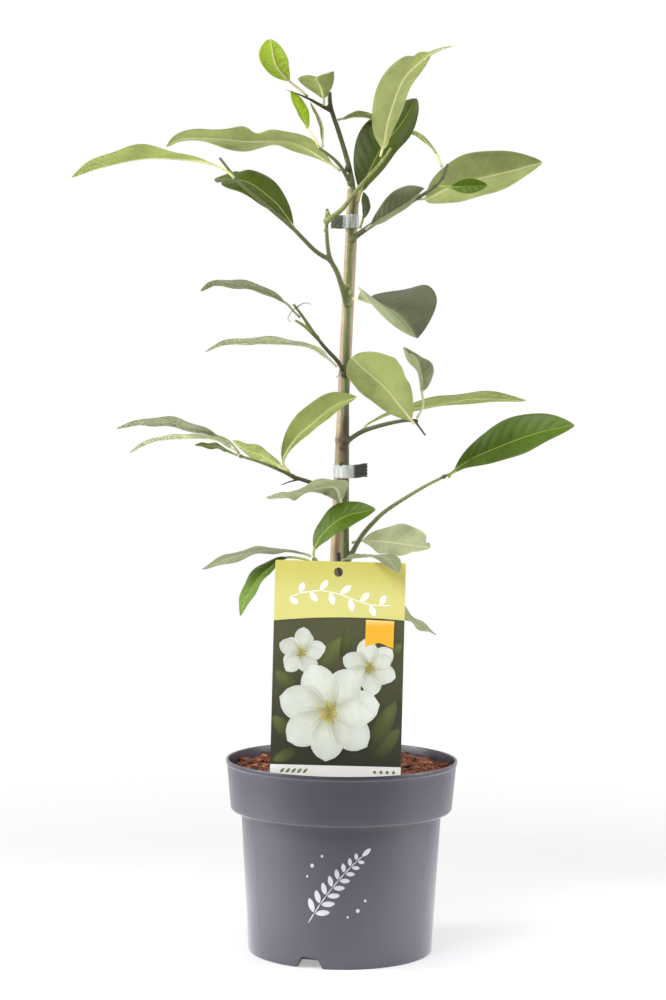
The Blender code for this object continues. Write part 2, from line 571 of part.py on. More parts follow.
def build_tie(name, height, stem_centre, stem_radius, tail_end, tail_side):
    """Band of tape round stem and cane with its two ends stuck together in a flat tail."""
    cane = cane_at(height)
    centres = [Vector(stem_centre), Vector((cane.x, cane.y))]
    radii = [stem_radius, CANE_RADIUS + (CANE_LEAN * TIE_HEIGHT / 2)]
    inner = belt_outline(centres, [r + GAP + 0.2 for r in radii])
    outer = belt_outline(centres, [r + GAP + 0.2 + TIE_THICK for r in radii])
    tail = []
    for y in (tail_side * TIE_THICK * 0.8, -tail_side * TIE_THICK * 0.8):
        tail.append(Vector((tail_end[0], tail_end[1] + y)))
    at = 0 if tail_side < 0 else len(outer) // 2
    outer = outer[:at] + tail + outer[at + 1:]
    material = finish_material("tie_tape", TIE_GREY, 0.3)
    tie = outline_plate(name, [[tuple(p) for p in outer], [tuple(p) for p in inner]], TIE_HEIGHT, material)
    tie.location.z = height * MM
    return tie


def blade_half_width(leaf, t):
    """Half of the blade's width at a share t of its length."""
    skew = math.log(0.5) / math.log(leaf.broadest)
    body = min(1.0, t / (1 - leaf.drip))
    bulge = math.sin(math.pi * min(1.0, body ** skew))
    blade = leaf.width / 2 * max(0.0, bulge) ** leaf.blunt
    thread = min(DRIP_HALF, DRIP_HALF * (1 - t) / leaf.drip) if leaf.drip else 0.0
    return max(blade, thread, PETIOLE_HALF * (1 - t))


def leaf_rows(leaf):
    """Sections along the leaf: place, stalk share, half width, and the directions across and up."""
    path = smooth_path(leaf.rib, 2.0)
    reach = [0.0]
    for a, b in zip(path, path[1:]):
        reach.append(reach[-1] + (b - a).length)

    def place(distance):
        i = next((k for k in range(1, len(path)) if reach[k] >= distance), len(path) - 1)
        span = reach[i] - reach[i - 1]
        return path[i - 1].lerp(path[i], (distance - reach[i - 1]) / span)

    stalk_steps = 2
    stations = [(leaf.trim + (leaf.petiole - leaf.trim) * k / stalk_steps, None) for k in range(stalk_steps)]
    blade = reach[-1] - leaf.petiole
    stations += [(leaf.petiole + blade * k / leaf.rows, k / leaf.rows) for k in range(leaf.rows + 1)]
    facing = Vector(leaf.facing)
    sections = []
    for distance, t in stations:
        near = place(max(0.0, distance - 1.0))
        far = place(min(reach[-1], distance + 1.0))
        along = (far - near).normalized()
        up = (facing - facing.dot(along) * along).normalized()
        turn = Matrix.Rotation(math.radians(leaf.twist * ((t or 0.0) - 0.5)), 3, along)
        up = turn @ up
        half = PETIOLE_HALF if t is None else blade_half_width(leaf, t)
        sections.append((place(distance), t, half, along.cross(up), up))
    return sections


def blade_point(leaf, section, side):
    """Point of the blade's middle surface at a side from -1 to 1."""
    centre, t, half, across, up = section
    if t is None or t == 0:
        return centre + across * side * half
    rise = math.radians(leaf.fold - leaf.cup * abs(side) / 2)
    lateral = half * side * math.cos(rise)
    lift = half * abs(side) * math.sin(rise)
    phase = 1.3 if side > 0 else 0.0
    lift += leaf.wave * side ** 2 * math.sin(5 * math.pi * t + phase) * math.sin(math.pi * t)
    return centre + across * lateral + up * lift


def build_leaf(leaf):
    """One leaf with its stalk as a single solid: thick along the midrib, thin at the margin."""
    sections = leaf_rows(leaf)
    rows = len(sections) - 1
    shape = bmesh.new()
    bmesh.ops.create_grid(shape, x_segments=LEAF_COLUMNS, y_segments=rows, size=1.0)
    depth = shape.verts.layers.deform.new()
    for vert in shape.verts:
        side = vert.co.x
        section = sections[round((vert.co.y + 1) / 2 * rows)]
        t = section[1]
        if t is None or t == 0:
            thick = PETIOLE_THICK
        else:
            middle = RIB_THICK + (BLADE_EDGE - RIB_THICK) * t
            thick = middle if abs(side) < 0.1 else BLADE_EDGE
        vert.co = blade_point(leaf, section, side) * MM
        vert[depth][0] = thick / PETIOLE_THICK
    bmesh.ops.remove_doubles(shape, verts=shape.verts, dist=0.0001)
    bmesh.ops.triangulate(shape, faces=shape.faces)
    mesh = bpy.data.meshes.new(leaf.name)
    shape.to_mesh(mesh)
    shape.free()
    made = add_object(leaf.name, mesh, finish_material("leaf_" + leaf.tone, LEAF_TONES[leaf.tone], 0.45))
    made.vertex_groups.new(name="thickness")
    solid = made.modifiers.new("blade", "SOLIDIFY")
    solid.thickness = PETIOLE_THICK * MM
    solid.offset = 0.0
    solid.vertex_group = "thickness"
    solid.thickness_vertex_group = 0.0
    return made


def shade_round(thing):
    """Smooth shading with the sharp edges kept."""
    thing.data.shade_smooth()
    thing.data.set_sharp_from_angle(angle=math.radians(40))


def main():
    """Build every piece of the potted plant."""
    clear_scene()
    pieces = [build_pot(), build_soil(), build_cane(), build_stem(), build_label()]
    pieces.append(build_tie("tie_upper", 598.8, (3.0, -4.0), 3.3, (-13.3, -4.4), 1))
    pieces.append(build_tie("tie_lower", 394.8, (0.5, -4.0), 4.1, (19.0, -2.5), -1))
    pieces += [build_leaf(leaf) for leaf in LEAVES]
    for piece in pieces:
        shade_round(piece)


main()
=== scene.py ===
"""Potted michelia, dressed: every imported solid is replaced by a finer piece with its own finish.

The frame gives the solids, in metres, +Z up, front -Y. Sizes below are in millimetres, and MM turns
them into metres.
"""

import json
import logging
import math
import random
from dataclasses import dataclass, field
from enum import Enum
from typing import NamedTuple, Optional, Sequence

import bmesh
import bpy
from mathutils import Euler, Matrix, Vector, noise
from mathutils.kdtree import KDTree

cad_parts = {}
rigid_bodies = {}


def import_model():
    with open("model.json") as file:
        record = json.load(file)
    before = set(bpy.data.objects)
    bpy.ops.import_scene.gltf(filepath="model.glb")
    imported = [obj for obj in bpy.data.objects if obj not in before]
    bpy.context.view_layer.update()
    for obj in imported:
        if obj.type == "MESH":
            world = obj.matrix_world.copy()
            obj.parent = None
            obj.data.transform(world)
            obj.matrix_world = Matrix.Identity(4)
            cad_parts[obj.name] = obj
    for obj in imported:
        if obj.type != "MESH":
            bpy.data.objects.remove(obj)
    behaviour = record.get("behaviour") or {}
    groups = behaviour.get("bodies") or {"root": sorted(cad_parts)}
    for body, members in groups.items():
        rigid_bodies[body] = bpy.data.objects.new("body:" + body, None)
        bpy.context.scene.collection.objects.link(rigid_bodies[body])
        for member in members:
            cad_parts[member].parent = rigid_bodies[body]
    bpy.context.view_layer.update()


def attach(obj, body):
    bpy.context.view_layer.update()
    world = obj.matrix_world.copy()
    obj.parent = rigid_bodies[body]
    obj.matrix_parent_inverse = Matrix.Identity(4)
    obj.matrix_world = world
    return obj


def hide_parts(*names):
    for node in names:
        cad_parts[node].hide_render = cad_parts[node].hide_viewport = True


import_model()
LOG = logging.getLogger("potted_michelia")
MM = 0.001

Colour = tuple[float, float, float]
Point = tuple[float, float, float]
Flat = tuple[float, float]
Socket = bpy.types.NodeSocket
Node = bpy.types.Node
Tree = bpy.types.NodeTree
Material = bpy.types.Material
Mesh = bpy.types.Mesh
Thing = bpy.types.Object
Shape = bmesh.types.BMesh

VALUE = "NodeSocketFloat"
VECTOR = "NodeSocketVector"
# Side veins: how far they climb on their way to the margin, how they bend, and how far, in gaps,
# those of one half lie past those of the other
VEIN_SLANT = 0.16
VEIN_CURVE = 1.3
VEIN_STAGGER = 0.45
# Half of the coloured midrib's width at the stalk and at the tip, mm
RIB_HALF = (1.15, 0.35)
# Points closer than this are one, in metres
WELD = 1e-6
# Printed sheets: their grid, how blunt their outline is, and how much their edges lose in light
SHEET_COLUMNS = 8
SHEET_ROWS = 12
SHEET_BLUNT = 0.62
EDGE_GLOW = 0.25
EDGE_DIM = 0.10


def dimmed(colour: Colour, share: float) -> Colour:
    """Colour times a share, with no channel over 1."""
    return tuple(min(1.0, channel * share) for channel in colour)


class Sketch:
    """Adds and joins the shader nodes of one tree."""

    def __init__(self, tree: Tree) -> None:
        self.tree = tree

    def add(self, kind: str, *plugs: object, **settings: object) -> Node:
        """Add a node and fill its inputs in order.

        Args:
            kind: the node's type, without its ShaderNode prefix.
            *plugs: for each input a socket to link, a value to set, or None to leave it.
            **settings: attributes of the node.

        Returns:
            The new node.
        """
        made = self.tree.nodes.new("ShaderNode" + kind)
        for name, value in settings.items():
            setattr(made, name, value)
        for socket, plug in zip(made.inputs, plugs):
            self.fill(socket, plug)
        return made

    def fill(self, socket: Socket, plug: object) -> None:
        """Link a socket to a plug, or set it to a value."""
        if isinstance(plug, Socket):
            self.tree.links.new(plug, socket)
        elif plug is not None:
            socket.default_value = plug

    def math(self, operation: str, *plugs: object) -> Socket:
        """Result of a Math node."""
        return self.add("Math", *plugs, operation=operation).outputs[0]

    def times(self, value: object, share: object) -> Socket:
        """Product of two values."""
        return self.math("MULTIPLY", value, share)

    def rest(self, value: object) -> Socket:
        """What a value leaves of 1."""
        return self.math("SUBTRACT", 1.0, value)

    def blend(self, factor: object, low: object, high: object, mode: str = "MIX") -> Socket:
        """Colour between two colours.

        Args:
            factor: share of the second colour, a socket or a number.
            low: first colour, a socket or three numbers.
            high: second colour.
            mode: blend type of the Mix node.

        Returns:
            The mixed colour's socket.
        """
        made = self.add("Mix", data_type="RGBA", blend_type=mode)
        for index, plug in ((0, factor), (6, low), (7, high)):
            self.fill(made.inputs[index], (*plug, 1.0) if isinstance(plug, tuple) else plug)
        return made.outputs[2]

    def wash(self, body: object, colour: object, mask: object, share: object) -> Socket:
        """Colour of the body with another laid over it by a share of a mask."""
        return self.blend(self.times(mask, share), body, colour)

    def step(self, value: object, low: float, high: float) -> Socket:
        """Smooth step from 0 at low to 1 at high."""
        made = self.add("MapRange", value, low, high, interpolation_type="SMOOTHSTEP")
        return made.outputs[0]

    def ramp(self, factor: object, stops: Sequence[tuple[float, Colour]]) -> Socket:
        """Colour read from a ramp.

        Args:
            factor: place on the ramp, from 0 to 1.
            stops: places and their colours.

        Returns:
            The colour's socket.
        """
        made = self.add("ValToRGB", factor)
        elements = made.color_ramp.elements
        while len(elements) < len(stops):
            elements.new(0.5)
        for element, (place, colour) in zip(elements, stops):
            element.position = place
            element.color = (*colour, 1.0)
        return made.outputs[0]

    def grain(self, vector: object, scale: float, detail: float = 3.0) -> Socket:
        """Value of a Noise texture."""
        roughness = 0.55
        return self.add("TexNoise", vector, None, scale, detail, roughness).outputs[0]

    def object_place(self) -> Socket:
        """Place of the shaded spot in the piece's own axes."""
        return self.add("TexCoord").outputs["Object"]

    def attribute(self, name: str) -> Socket:
        """Value of a mesh attribute."""
        return self.add("Attribute", attribute_name=name).outputs["Fac"]

    def toned(self, body: object, name: str) -> Socket:
        """Colour times a mesh attribute."""
        value = self.attribute(name)
        grey = self.add("CombineXYZ", value, value, value).outputs[0]
        return self.blend(1.0, body, grey, mode="MULTIPLY")

    def bump(self, height: object, distance: float, strength: float) -> Socket:
        """Normal from a height."""
        made = self.add("Bump")
        made.inputs["Strength"].default_value = strength
        made.inputs["Distance"].default_value = distance
        self.fill(made.inputs["Height"], height)
        return made.outputs[0]


class Finish(NamedTuple):
    """A material with its sketch and its Principled shader."""

    material: Material
    sketch: Sketch
    shader: Node

    def set(self, **values: object) -> None:
        """Fill the shader's sockets, named with underscores for spaces."""
        for name, plug in values.items():
            socket = self.shader.inputs[name.replace("_", " ")]
            self.sketch.fill(socket, (*plug, 1.0) if isinstance(plug, tuple) else plug)


def new_finish(name: str) -> Finish:
    """New material with one Principled shader."""
    material = bpy.data.materials.new(name)
    material.use_nodes = True
    tree = material.node_tree
    return Finish(material, Sketch(tree), tree.nodes["Principled BSDF"])


def new_group(name: str, inputs: Sequence[tuple[str, str, object]],
              outputs: Sequence[tuple[str, str]]) -> tuple[Tree, Sketch, Node, Node]:
    """Start a shader node group.

    Args:
        name: the group's name.
        inputs: name, socket type and default of each input.
        outputs: name and socket type of each output.

    Returns:
        The group's tree, its sketch, its input node and its output node.
    """
    tree = bpy.data.node_groups.new(name, "ShaderNodeTree")
    for label, kind, default in inputs:
        socket = tree.interface.new_socket(label, in_out="INPUT", socket_type=kind)
        if default is not None:
            socket.default_value = default
    for label, kind in outputs:
        tree.interface.new_socket(label, in_out="OUTPUT", socket_type=kind)
    return tree, Sketch(tree), tree.nodes.new("NodeGroupInput"), tree.nodes.new("NodeGroupOutput")


def place_group(sketch: Sketch, group: Tree, **plugs: object) -> Node:
    """Put a node group into a material and fill its named inputs."""
    made = sketch.tree.nodes.new("ShaderNodeGroup")
    made.node_tree = group
    for name, plug in plugs.items():
        sketch.fill(made.inputs[name.replace("_", " ")], plug)
    return made


def build_mottle_group() -> Tree:
    """Group with soft patches and fine grain, used by every natural finish.

    Returns:
        The group: Patches and Grain are values from 0 to 1.
    """
    tree, sketch, into, out = new_group(
        "mottle",
        (("Vector", VECTOR, None), ("Patch Scale", VALUE, 30.0), ("Grain Scale", VALUE, 300.0)),
        (("Patches", VALUE), ("Grain", VALUE)),
    )
    for index, scale in enumerate(("Patch Scale", "Grain Scale")):
        pattern = sketch.add("TexNoise", into.outputs["Vector"], None, into.outputs[scale], 3.0, 0.6)
        sketch.tree.links.new(sketch.step(pattern.outputs[0], 0.32, 0.68), out.inputs[index])
    return tree


def build_vein_group() -> Tree:
    """Group with a leaf's midrib and side veins, read from its map and its distance from the rib.

    Returns:
        The group: Rib and Veins are masks, and Quilt is the rise of the blade between the veins.
    """
    tree, sketch, into, out = new_group(
        "leaf_veins",
        (("Map", VECTOR, None), ("From Rib", VALUE, 0.0), ("Pairs", VALUE, 10.0),
         ("Slant", VALUE, VEIN_SLANT), ("Vein Width", VALUE, 0.04)),
        (("Rib", VALUE), ("Veins", VALUE), ("Quilt", VALUE)),
    )
    split = sketch.add("SeparateXYZ", into.outputs["Map"])
    across, along = split.outputs[0], split.outputs[1]
    centred = sketch.math("SUBTRACT", across, 0.5)
    reach = sketch.times(sketch.math("ABSOLUTE", centred), 2.0)
    shift = sketch.times(sketch.math("GREATER_THAN", centred, 0.0), VEIN_STAGGER)
    lean = sketch.times(sketch.math("POWER", reach, VEIN_CURVE), into.outputs["Slant"])
    phase = sketch.times(sketch.math("SUBTRACT", along, lean), into.outputs["Pairs"])
    phase = sketch.math("ADD", phase, shift)
    saw = sketch.math("FRACT", sketch.math("ADD", phase, 0.5))
    gap = sketch.math("ABSOLUTE", sketch.math("SUBTRACT", saw, 0.5))
    off = sketch.add("MapRange", gap, 0.0, into.outputs["Vein Width"], interpolation_type="SMOOTHSTEP")
    line = sketch.rest(off.outputs[0])
    fade = sketch.rest(sketch.step(reach, 0.55, 0.98))
    tips = sketch.times(sketch.step(along, 0.02, 0.1), sketch.rest(sketch.step(along, 0.86, 0.98)))
    width = sketch.add("MapRange", along, 0.0, 1.0, *RIB_HALF).outputs[0]
    from_rib = sketch.math("DIVIDE", into.outputs["From Rib"], width)
    rib = sketch.rest(sketch.step(from_rib, 0.55, 1.0))
    links = sketch.tree.links
    links.new(rib, out.inputs["Rib"])
    links.new(sketch.times(sketch.times(line, fade), tips), out.inputs["Veins"])
    links.new(sketch.times(sketch.step(gap, 0.0, 0.4), fade), out.inputs["Quilt"])
    return tree


# Shapes shared by the pieces


def smooth_path(points: Sequence[Point], spacing: float) -> list[Vector]:
    """Points about one spacing apart on a smooth curve through the given points."""
    knots = [Vector(p) for p in points]
    ends = [2 * knots[0] - knots[1]] + knots + [2 * knots[-1] - knots[-2]]
    path = []
    for a, b, c, d in zip(ends, ends[1:], ends[2:], ends[3:]):
        steps = max(1, round((c - b).length / spacing))
        for k in range(steps):
            t = k / steps
            path.append(0.5 * (2 * b + (c - a) * t + (2 * a - 5 * b + 4 * c - d) * t ** 2
                               + (3 * b - a - 3 * c + d) * t ** 3))
    path.append(knots[-1])
    return path


def settle(name: str, shape: Shape, *materials: Material, sharp: float = 40.0) -> Thing:
    """Turn a finished bmesh into a smooth-shaded object at the origin.

    Args:
        name: the piece's name.
        shape: its mesh, in metres, freed here.
        *materials: its material slots.
        sharp: angle in degrees past which an edge stays sharp.

    Returns:
        The new object.
    """
    mesh = bpy.data.meshes.new(name)
    shape.to_mesh(mesh)
    shape.free()
    for material in materials:
        mesh.materials.append(material)
    made = bpy.data.objects.new(name, mesh)
    bpy.context.scene.collection.objects.link(made)
    mesh.shade_smooth()
    mesh.set_sharp_from_angle(angle=math.radians(sharp))
    return made


def opened(mesh: Mesh) -> Shape:
    """Mesh opened for shaping."""
    shape = bmesh.new()
    shape.from_mesh(mesh)
    return shape


def weld(shape: Shape) -> Shape:
    """Merge doubled points and point the faces outwards."""
    bmesh.ops.remove_doubles(shape, verts=shape.verts, dist=WELD)
    bmesh.ops.recalc_face_normals(shape, faces=shape.faces)
    return shape


def curve_mesh(curve: bpy.types.Curve) -> Mesh:
    """Mesh that a curve makes."""
    holder = bpy.data.objects.new(curve.name, curve)
    bpy.context.scene.collection.objects.link(holder)
    bpy.context.view_layer.update()
    mesh = bpy.data.meshes.new_from_object(holder.evaluated_get(bpy.context.evaluated_depsgraph_get()))
    bpy.data.objects.remove(holder, do_unlink=True)
    return mesh


def bake_modifiers(thing: Thing) -> None:
    """Apply an object's modifiers to its mesh, keeping its name and slots."""
    bpy.context.view_layer.update()
    graph = bpy.context.evaluated_depsgraph_get()
    mesh = bpy.data.meshes.new_from_object(thing.evaluated_get(graph), preserve_all_data_layers=True,
                                           depsgraph=graph)
    thing.modifiers.clear()
    thing.data = mesh


def lathe(profile: Sequence[Flat], steps: int) -> Shape:
    """Spin a profile of radius and height round the Z axis into a closed mesh."""
    shape = bmesh.new()
    verts = [shape.verts.new((r * MM, 0, z * MM)) for r, z in profile]
    edges = [shape.edges.new(pair) for pair in zip(verts, verts[1:])]
    bmesh.ops.spin(shape, geom=verts + edges, cent=(0, 0, 0), axis=(0, 0, 1), angle=2 * math.pi, steps=steps,
                   use_merge=True, use_duplicate=False)
    return weld(shape)


def ringed(profile: Sequence[Flat], spacing: float) -> list[Flat]:
    """Profile with extra points, no two further apart than the spacing."""
    longer = [profile[0]]
    for before, here in zip(profile, profile[1:]):
        count = max(1, math.ceil((Vector(here) - Vector(before)).length / spacing))
        longer += [tuple(Vector(before).lerp(Vector(here), k / count)) for k in range(1, count + 1)]
    return longer


def rounded(profile: Sequence[Flat], radius: float, steps: int = 3) -> list[Flat]:
    """Profile with its inner corners rounded off.

    Args:
        profile: corners, first to last.
        radius: how far along each side the rounding starts.
        steps: points per corner, less one.

    Returns:
        The longer profile.
    """
    outline = [profile[0]]
    for before, here, after in zip(profile, profile[1:], profile[2:]):
        a, b, c = Vector(before), Vector(here), Vector(after)
        reach = min(radius, (b - a).length * 0.45, (c - b).length * 0.45)
        start = b + (a - b).normalized() * reach
        end = b + (c - b).normalized() * reach
        for k in range(steps + 1):
            t = k / steps
            place = start * (1 - t) ** 2 + b * 2 * t * (1 - t) + end * t ** 2
            outline.append((place.x, place.y))
    return outline + [profile[-1]]


def strands(name: str, runs: Sequence[tuple[Sequence[Vector], Sequence[float]]], sides_step: int) -> Mesh:
    """One mesh of capped tubes.

    Args:
        name: the mesh's name.
        runs: for each tube its points and their radii, mm.
        sides_step: bevel resolution, 1 for six sides and 2 for eight.

    Returns:
        The welded mesh, in metres.
    """
    curve = bpy.data.curves.new(name, "CURVE")
    curve.dimensions = "3D"
    curve.bevel_depth = MM
    curve.bevel_resolution = sides_step
    curve.use_fill_caps = True
    for points, radii in runs:
        spline = curve.splines.new("POLY")
        spline.points.add(len(points) - 1)
        for knot, place, radius in zip(spline.points, points, radii):
            knot.co = (*(place * MM), 1.0)
            knot.radius = radius
    mesh = curve_mesh(curve)
    shape = weld(opened(mesh))
    shape.to_mesh(mesh)
    shape.free()
    return mesh


def arc_points(centre: Flat, radius: float, start: float, end: float, count: int) -> list[Flat]:
    """Points on an arc, degrees counterclockwise."""
    angles = [math.radians(start + (end - start) * k / (count - 1)) for k in range(count)]
    return [(centre[0] + radius * math.cos(a), centre[1] + radius * math.sin(a)) for a in angles]


def flat_plate(loops: Sequence[Sequence[Flat]], thickness: float) -> Shape:
    """Plate in the XY plane from closed outlines, the later ones being holes, in metres."""
    curve = bpy.data.curves.new("plate", "CURVE")
    curve.dimensions = "2D"
    curve.fill_mode = "BOTH"
    curve.extrude = thickness / 2 * MM
    for loop in loops:
        spline = curve.splines.new("POLY")
        spline.points.add(len(loop) - 1)
        for point, (x, y) in zip(spline.points, loop):
            point.co = (x * MM, y * MM, 0, 1)
        spline.use_cyclic_u = True
    mesh = curve_mesh(curve)
    shape = weld(opened(mesh))
    bpy.data.meshes.remove(mesh)
    return shape


def turned(heading: Vector, angle: float) -> Vector:
    """Flat direction turned counterclockwise by an angle in radians."""
    return Vector((heading.x * math.cos(angle) - heading.y * math.sin(angle),
                   heading.x * math.sin(angle) + heading.y * math.cos(angle)))


def open_mesh() -> Shape:
    """Empty mesh with the two values that printed shapes carry."""
    shape = bmesh.new()
    shape.verts.layers.float.new("glow")
    shape.verts.layers.float.new("dim")
    return shape


def sheet(shape: Shape, root: Flat, tip: Flat, half: float, level: float, dim: float,
          broadest: float = 0.62) -> None:
    """Add one petal-shaped sheet in the XY plane.

    Args:
        shape: mesh that takes it.
        root: where it starts, mm.
        tip: where it ends, mm.
        half: half of its greatest width, mm.
        level: its height, mm.
        dim: how bright it is printed.
        broadest: share of its length where it is widest.
    """
    a, b = Vector(root), Vector(tip)
    side = Vector((a.y - b.y, b.x - a.x)).normalized()
    skew = math.log(0.5) / math.log(broadest)
    made = bmesh.ops.create_grid(shape, x_segments=SHEET_COLUMNS, y_segments=SHEET_ROWS, size=1.0)["verts"]
    glow, shade = shape.verts.layers.float["glow"], shape.verts.layers.float["dim"]
    for vert in made:
        u, v = vert.co.x, (vert.co.y + 1) / 2
        bulge = max(0.0, math.sin(math.pi * min(1.0, v ** skew))) ** SHEET_BLUNT
        place = a.lerp(b, v) + side * u * half * bulge
        vert[glow] = min(1.0, v * (1 - EDGE_GLOW * abs(u)))
        vert[shade] = dim * (1 - EDGE_DIM * abs(u) ** 2)
        vert.co = Vector((place.x, place.y, level)) * MM


def thicken(piece: Thing, thickness: float) -> Thing:
    """Give a printed sheet thickness, mm, and keep its facets flat."""
    piece.data.shade_flat()
    solid = piece.modifiers.new("sheet", "SOLIDIFY")
    solid.thickness = thickness * MM
    solid.offset = 0.0
    return piece


def cut(piece: Thing, cutters: Sequence[Thing]) -> None:
    """Cut closed shapes out of a piece and remove them."""
    for cutter in cutters:
        boolean = piece.modifiers.new("cut", "BOOLEAN")
        boolean.operation = "DIFFERENCE"
        boolean.object = cutter
        boolean.solver = "EXACT"
    bake_modifiers(piece)
    for cutter in cutters:
        bpy.data.objects.remove(cutter, do_unlink=True)
    piece.data.shade_smooth()
    piece.data.set_sharp_from_angle(angle=math.radians(35))


def clothe(piece: Thing, slot: str, *nodes: str) -> Thing:
    """Let a piece ride on the plant and stand for its solids."""
    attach(piece, "root")
    if nodes:
        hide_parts(*nodes)
    return piece


class Shade(Enum):
    """How a leaf's tissue is coloured."""

    YOUNG = "young"
    PALE = "pale"
    OLIVE = "olive"
    GREY = "grey"
    DARK = "dark"
    SUNLIT = "sunlit"


class BladeSide(NamedTuple):
    """How the veins of one side of a blade look, and the depth of its relief in metres."""

    vein_width: float
    vein_mix: float
    rib_mix: float
    vein_rise: float
    relief: float


UPPER_SIDE = BladeSide(vein_width=0.07, vein_mix=0.22, rib_mix=0.75, vein_rise=-0.2, relief=0.00018)
LOWER_SIDE = BladeSide(vein_width=0.10, vein_mix=0.45, rib_mix=0.92, vein_rise=0.2, relief=0.00005)


@dataclass(frozen=True)
class LeafFinish:
    """Colours of a leaf's two sides, and how rough they are."""

    upper: Colour
    upper_vein: Colour
    under: Colour
    under_vein: Colour
    rib: Colour
    slot: str
    gloss: float = 0.34
    dull: float = 0.55

    def side(self, name: str, under: bool, veins: Tree, mottle: Tree) -> Material:
        """Material of one side of the blade.

        Args:
            name: its name.
            under: True for the dull lower side.
            veins: the vein group.
            mottle: the mottle group.

        Returns:
            The material.
        """
        finish = new_finish(name)
        sketch = finish.sketch
        look = LOWER_SIDE if under else UPPER_SIDE
        flesh = self.under if under else self.upper
        line = self.under_vein if under else self.upper_vein
        chart = sketch.add("UVMap", uv_map="leaf_map").outputs[0]
        place = sketch.object_place()
        net = place_group(sketch, veins, Map=chart, From_Rib=sketch.attribute("from_rib"),
                          Pairs=sketch.attribute("pairs"), Vein_Width=look.vein_width)
        patch = place_group(sketch, mottle, Vector=place, Patch_Scale=45.0, Grain_Scale=520.0)
        low, high = dimmed(flesh, 0.80), dimmed(flesh, 1.16)
        body = sketch.blend(patch.outputs["Patches"], low, high)
        # Painted shade: the blade is coloured lighter on its rises between the veins, so the furrows along
        # the veins look shaded
        body = sketch.wash(body, high, net.outputs["Quilt"], 0.35)
        body = sketch.wash(body, low, patch.outputs["Grain"], 0.08)
        body = sketch.wash(body, line, net.outputs["Veins"], look.vein_mix)
        body = sketch.wash(body, line, sketch.attribute("margin"), 0.5)
        body = sketch.wash(body, self.rib, net.outputs["Rib"], look.rib_mix)
        body = sketch.blend(sketch.attribute("stalk"), body, self.rib)
        body = sketch.toned(body, "tone")
        rise = sketch.times(net.outputs["Quilt"], 0.6)
        rise = sketch.math("ADD", rise, sketch.times(net.outputs["Veins"], look.vein_rise))
        base = self.dull if under else self.gloss
        rough = sketch.math("MULTIPLY_ADD", patch.outputs["Patches"], 0.12, base)
        finish.set(Base_Color=body, Roughness=rough, Normal=sketch.bump(rise, look.relief, 0.5),
                   Specular_IOR_Level=0.2)
        return finish.material


LEAF_FINISHES = {
    Shade.YOUNG: LeafFinish((0.26, 0.39, 0.018), (0.42, 0.50, 0.07), (0.30, 0.43, 0.03), (0.44, 0.52, 0.09),
                            (0.66, 0.56, 0.32), "leaf_young"),
    Shade.PALE: LeafFinish((0.12, 0.18, 0.02), (0.26, 0.31, 0.07), (0.36, 0.41, 0.135), (0.45, 0.49, 0.20),
                           (0.68, 0.66, 0.34), "leaf_pale"),
    Shade.OLIVE: LeafFinish((0.16, 0.22, 0.035), (0.30, 0.36, 0.09), (0.35, 0.42, 0.115), (0.45, 0.50, 0.18),
                            (0.62, 0.62, 0.28), "leaf_sunlit"),
    Shade.GREY: LeafFinish((0.22, 0.25, 0.13), (0.33, 0.35, 0.20), (0.34, 0.37, 0.20), (0.43, 0.45, 0.27),
                           (0.52, 0.52, 0.32), "leaf_pale", gloss=0.42),
    Shade.DARK: LeafFinish((0.055, 0.080, 0.008), (0.12, 0.15, 0.03), (0.30, 0.34, 0.15), (0.36, 0.40, 0.19),
                           (0.36, 0.38, 0.12), "leaf_dark", gloss=0.30),
    Shade.SUNLIT: LeafFinish((0.075, 0.135, 0.006), (0.16, 0.23, 0.03), (0.30, 0.38, 0.10),
                             (0.40, 0.46, 0.16), (0.36, 0.42, 0.09), "leaf_sunlit"),
}


@dataclass
class Leaf:
    """One leaf, held as its solid is.

    Its midrib runs from the twig to the tip. The upper side faces the facing direction. Fold and cup are the
    angles at which the blade rises either side of the midrib, and twist turns it along its length. A nibble
    is
    a dip or a swelling of one edge: its place along the blade, its side, its width and its depth. The tones
    brighten or darken the whole blade and its tip. The two half tones are painted light and shade: they
    colour one side of the midrib lighter or darker than the other, as light, shade and sheen fall on the
    blade.
    """

    name: str
    rib: list[Point]
    petiole: float
    width: float
    facing: Point
    fold: float = 20.0
    cup: float = 18.0
    twist: float = 0.0
    broadest: float = 0.5
    wave: float = 0.8
    trim: float = 0.0
    blunt: float = 0.75
    drip: float = 0.0
    shade: Shade = Shade.PALE
    tone: float = 1.0
    tip_tone: float = 1.0
    # Painted light and shade: tone multipliers for the blade on either side of the midrib, lighter where
    # light or sheen falls, darker where it is shaded
    half_shading: Flat = (1.0, 1.0)
    pairs: float = 10.0
    nibbles: list[tuple[float, int, float, float]] = field(default_factory=list)


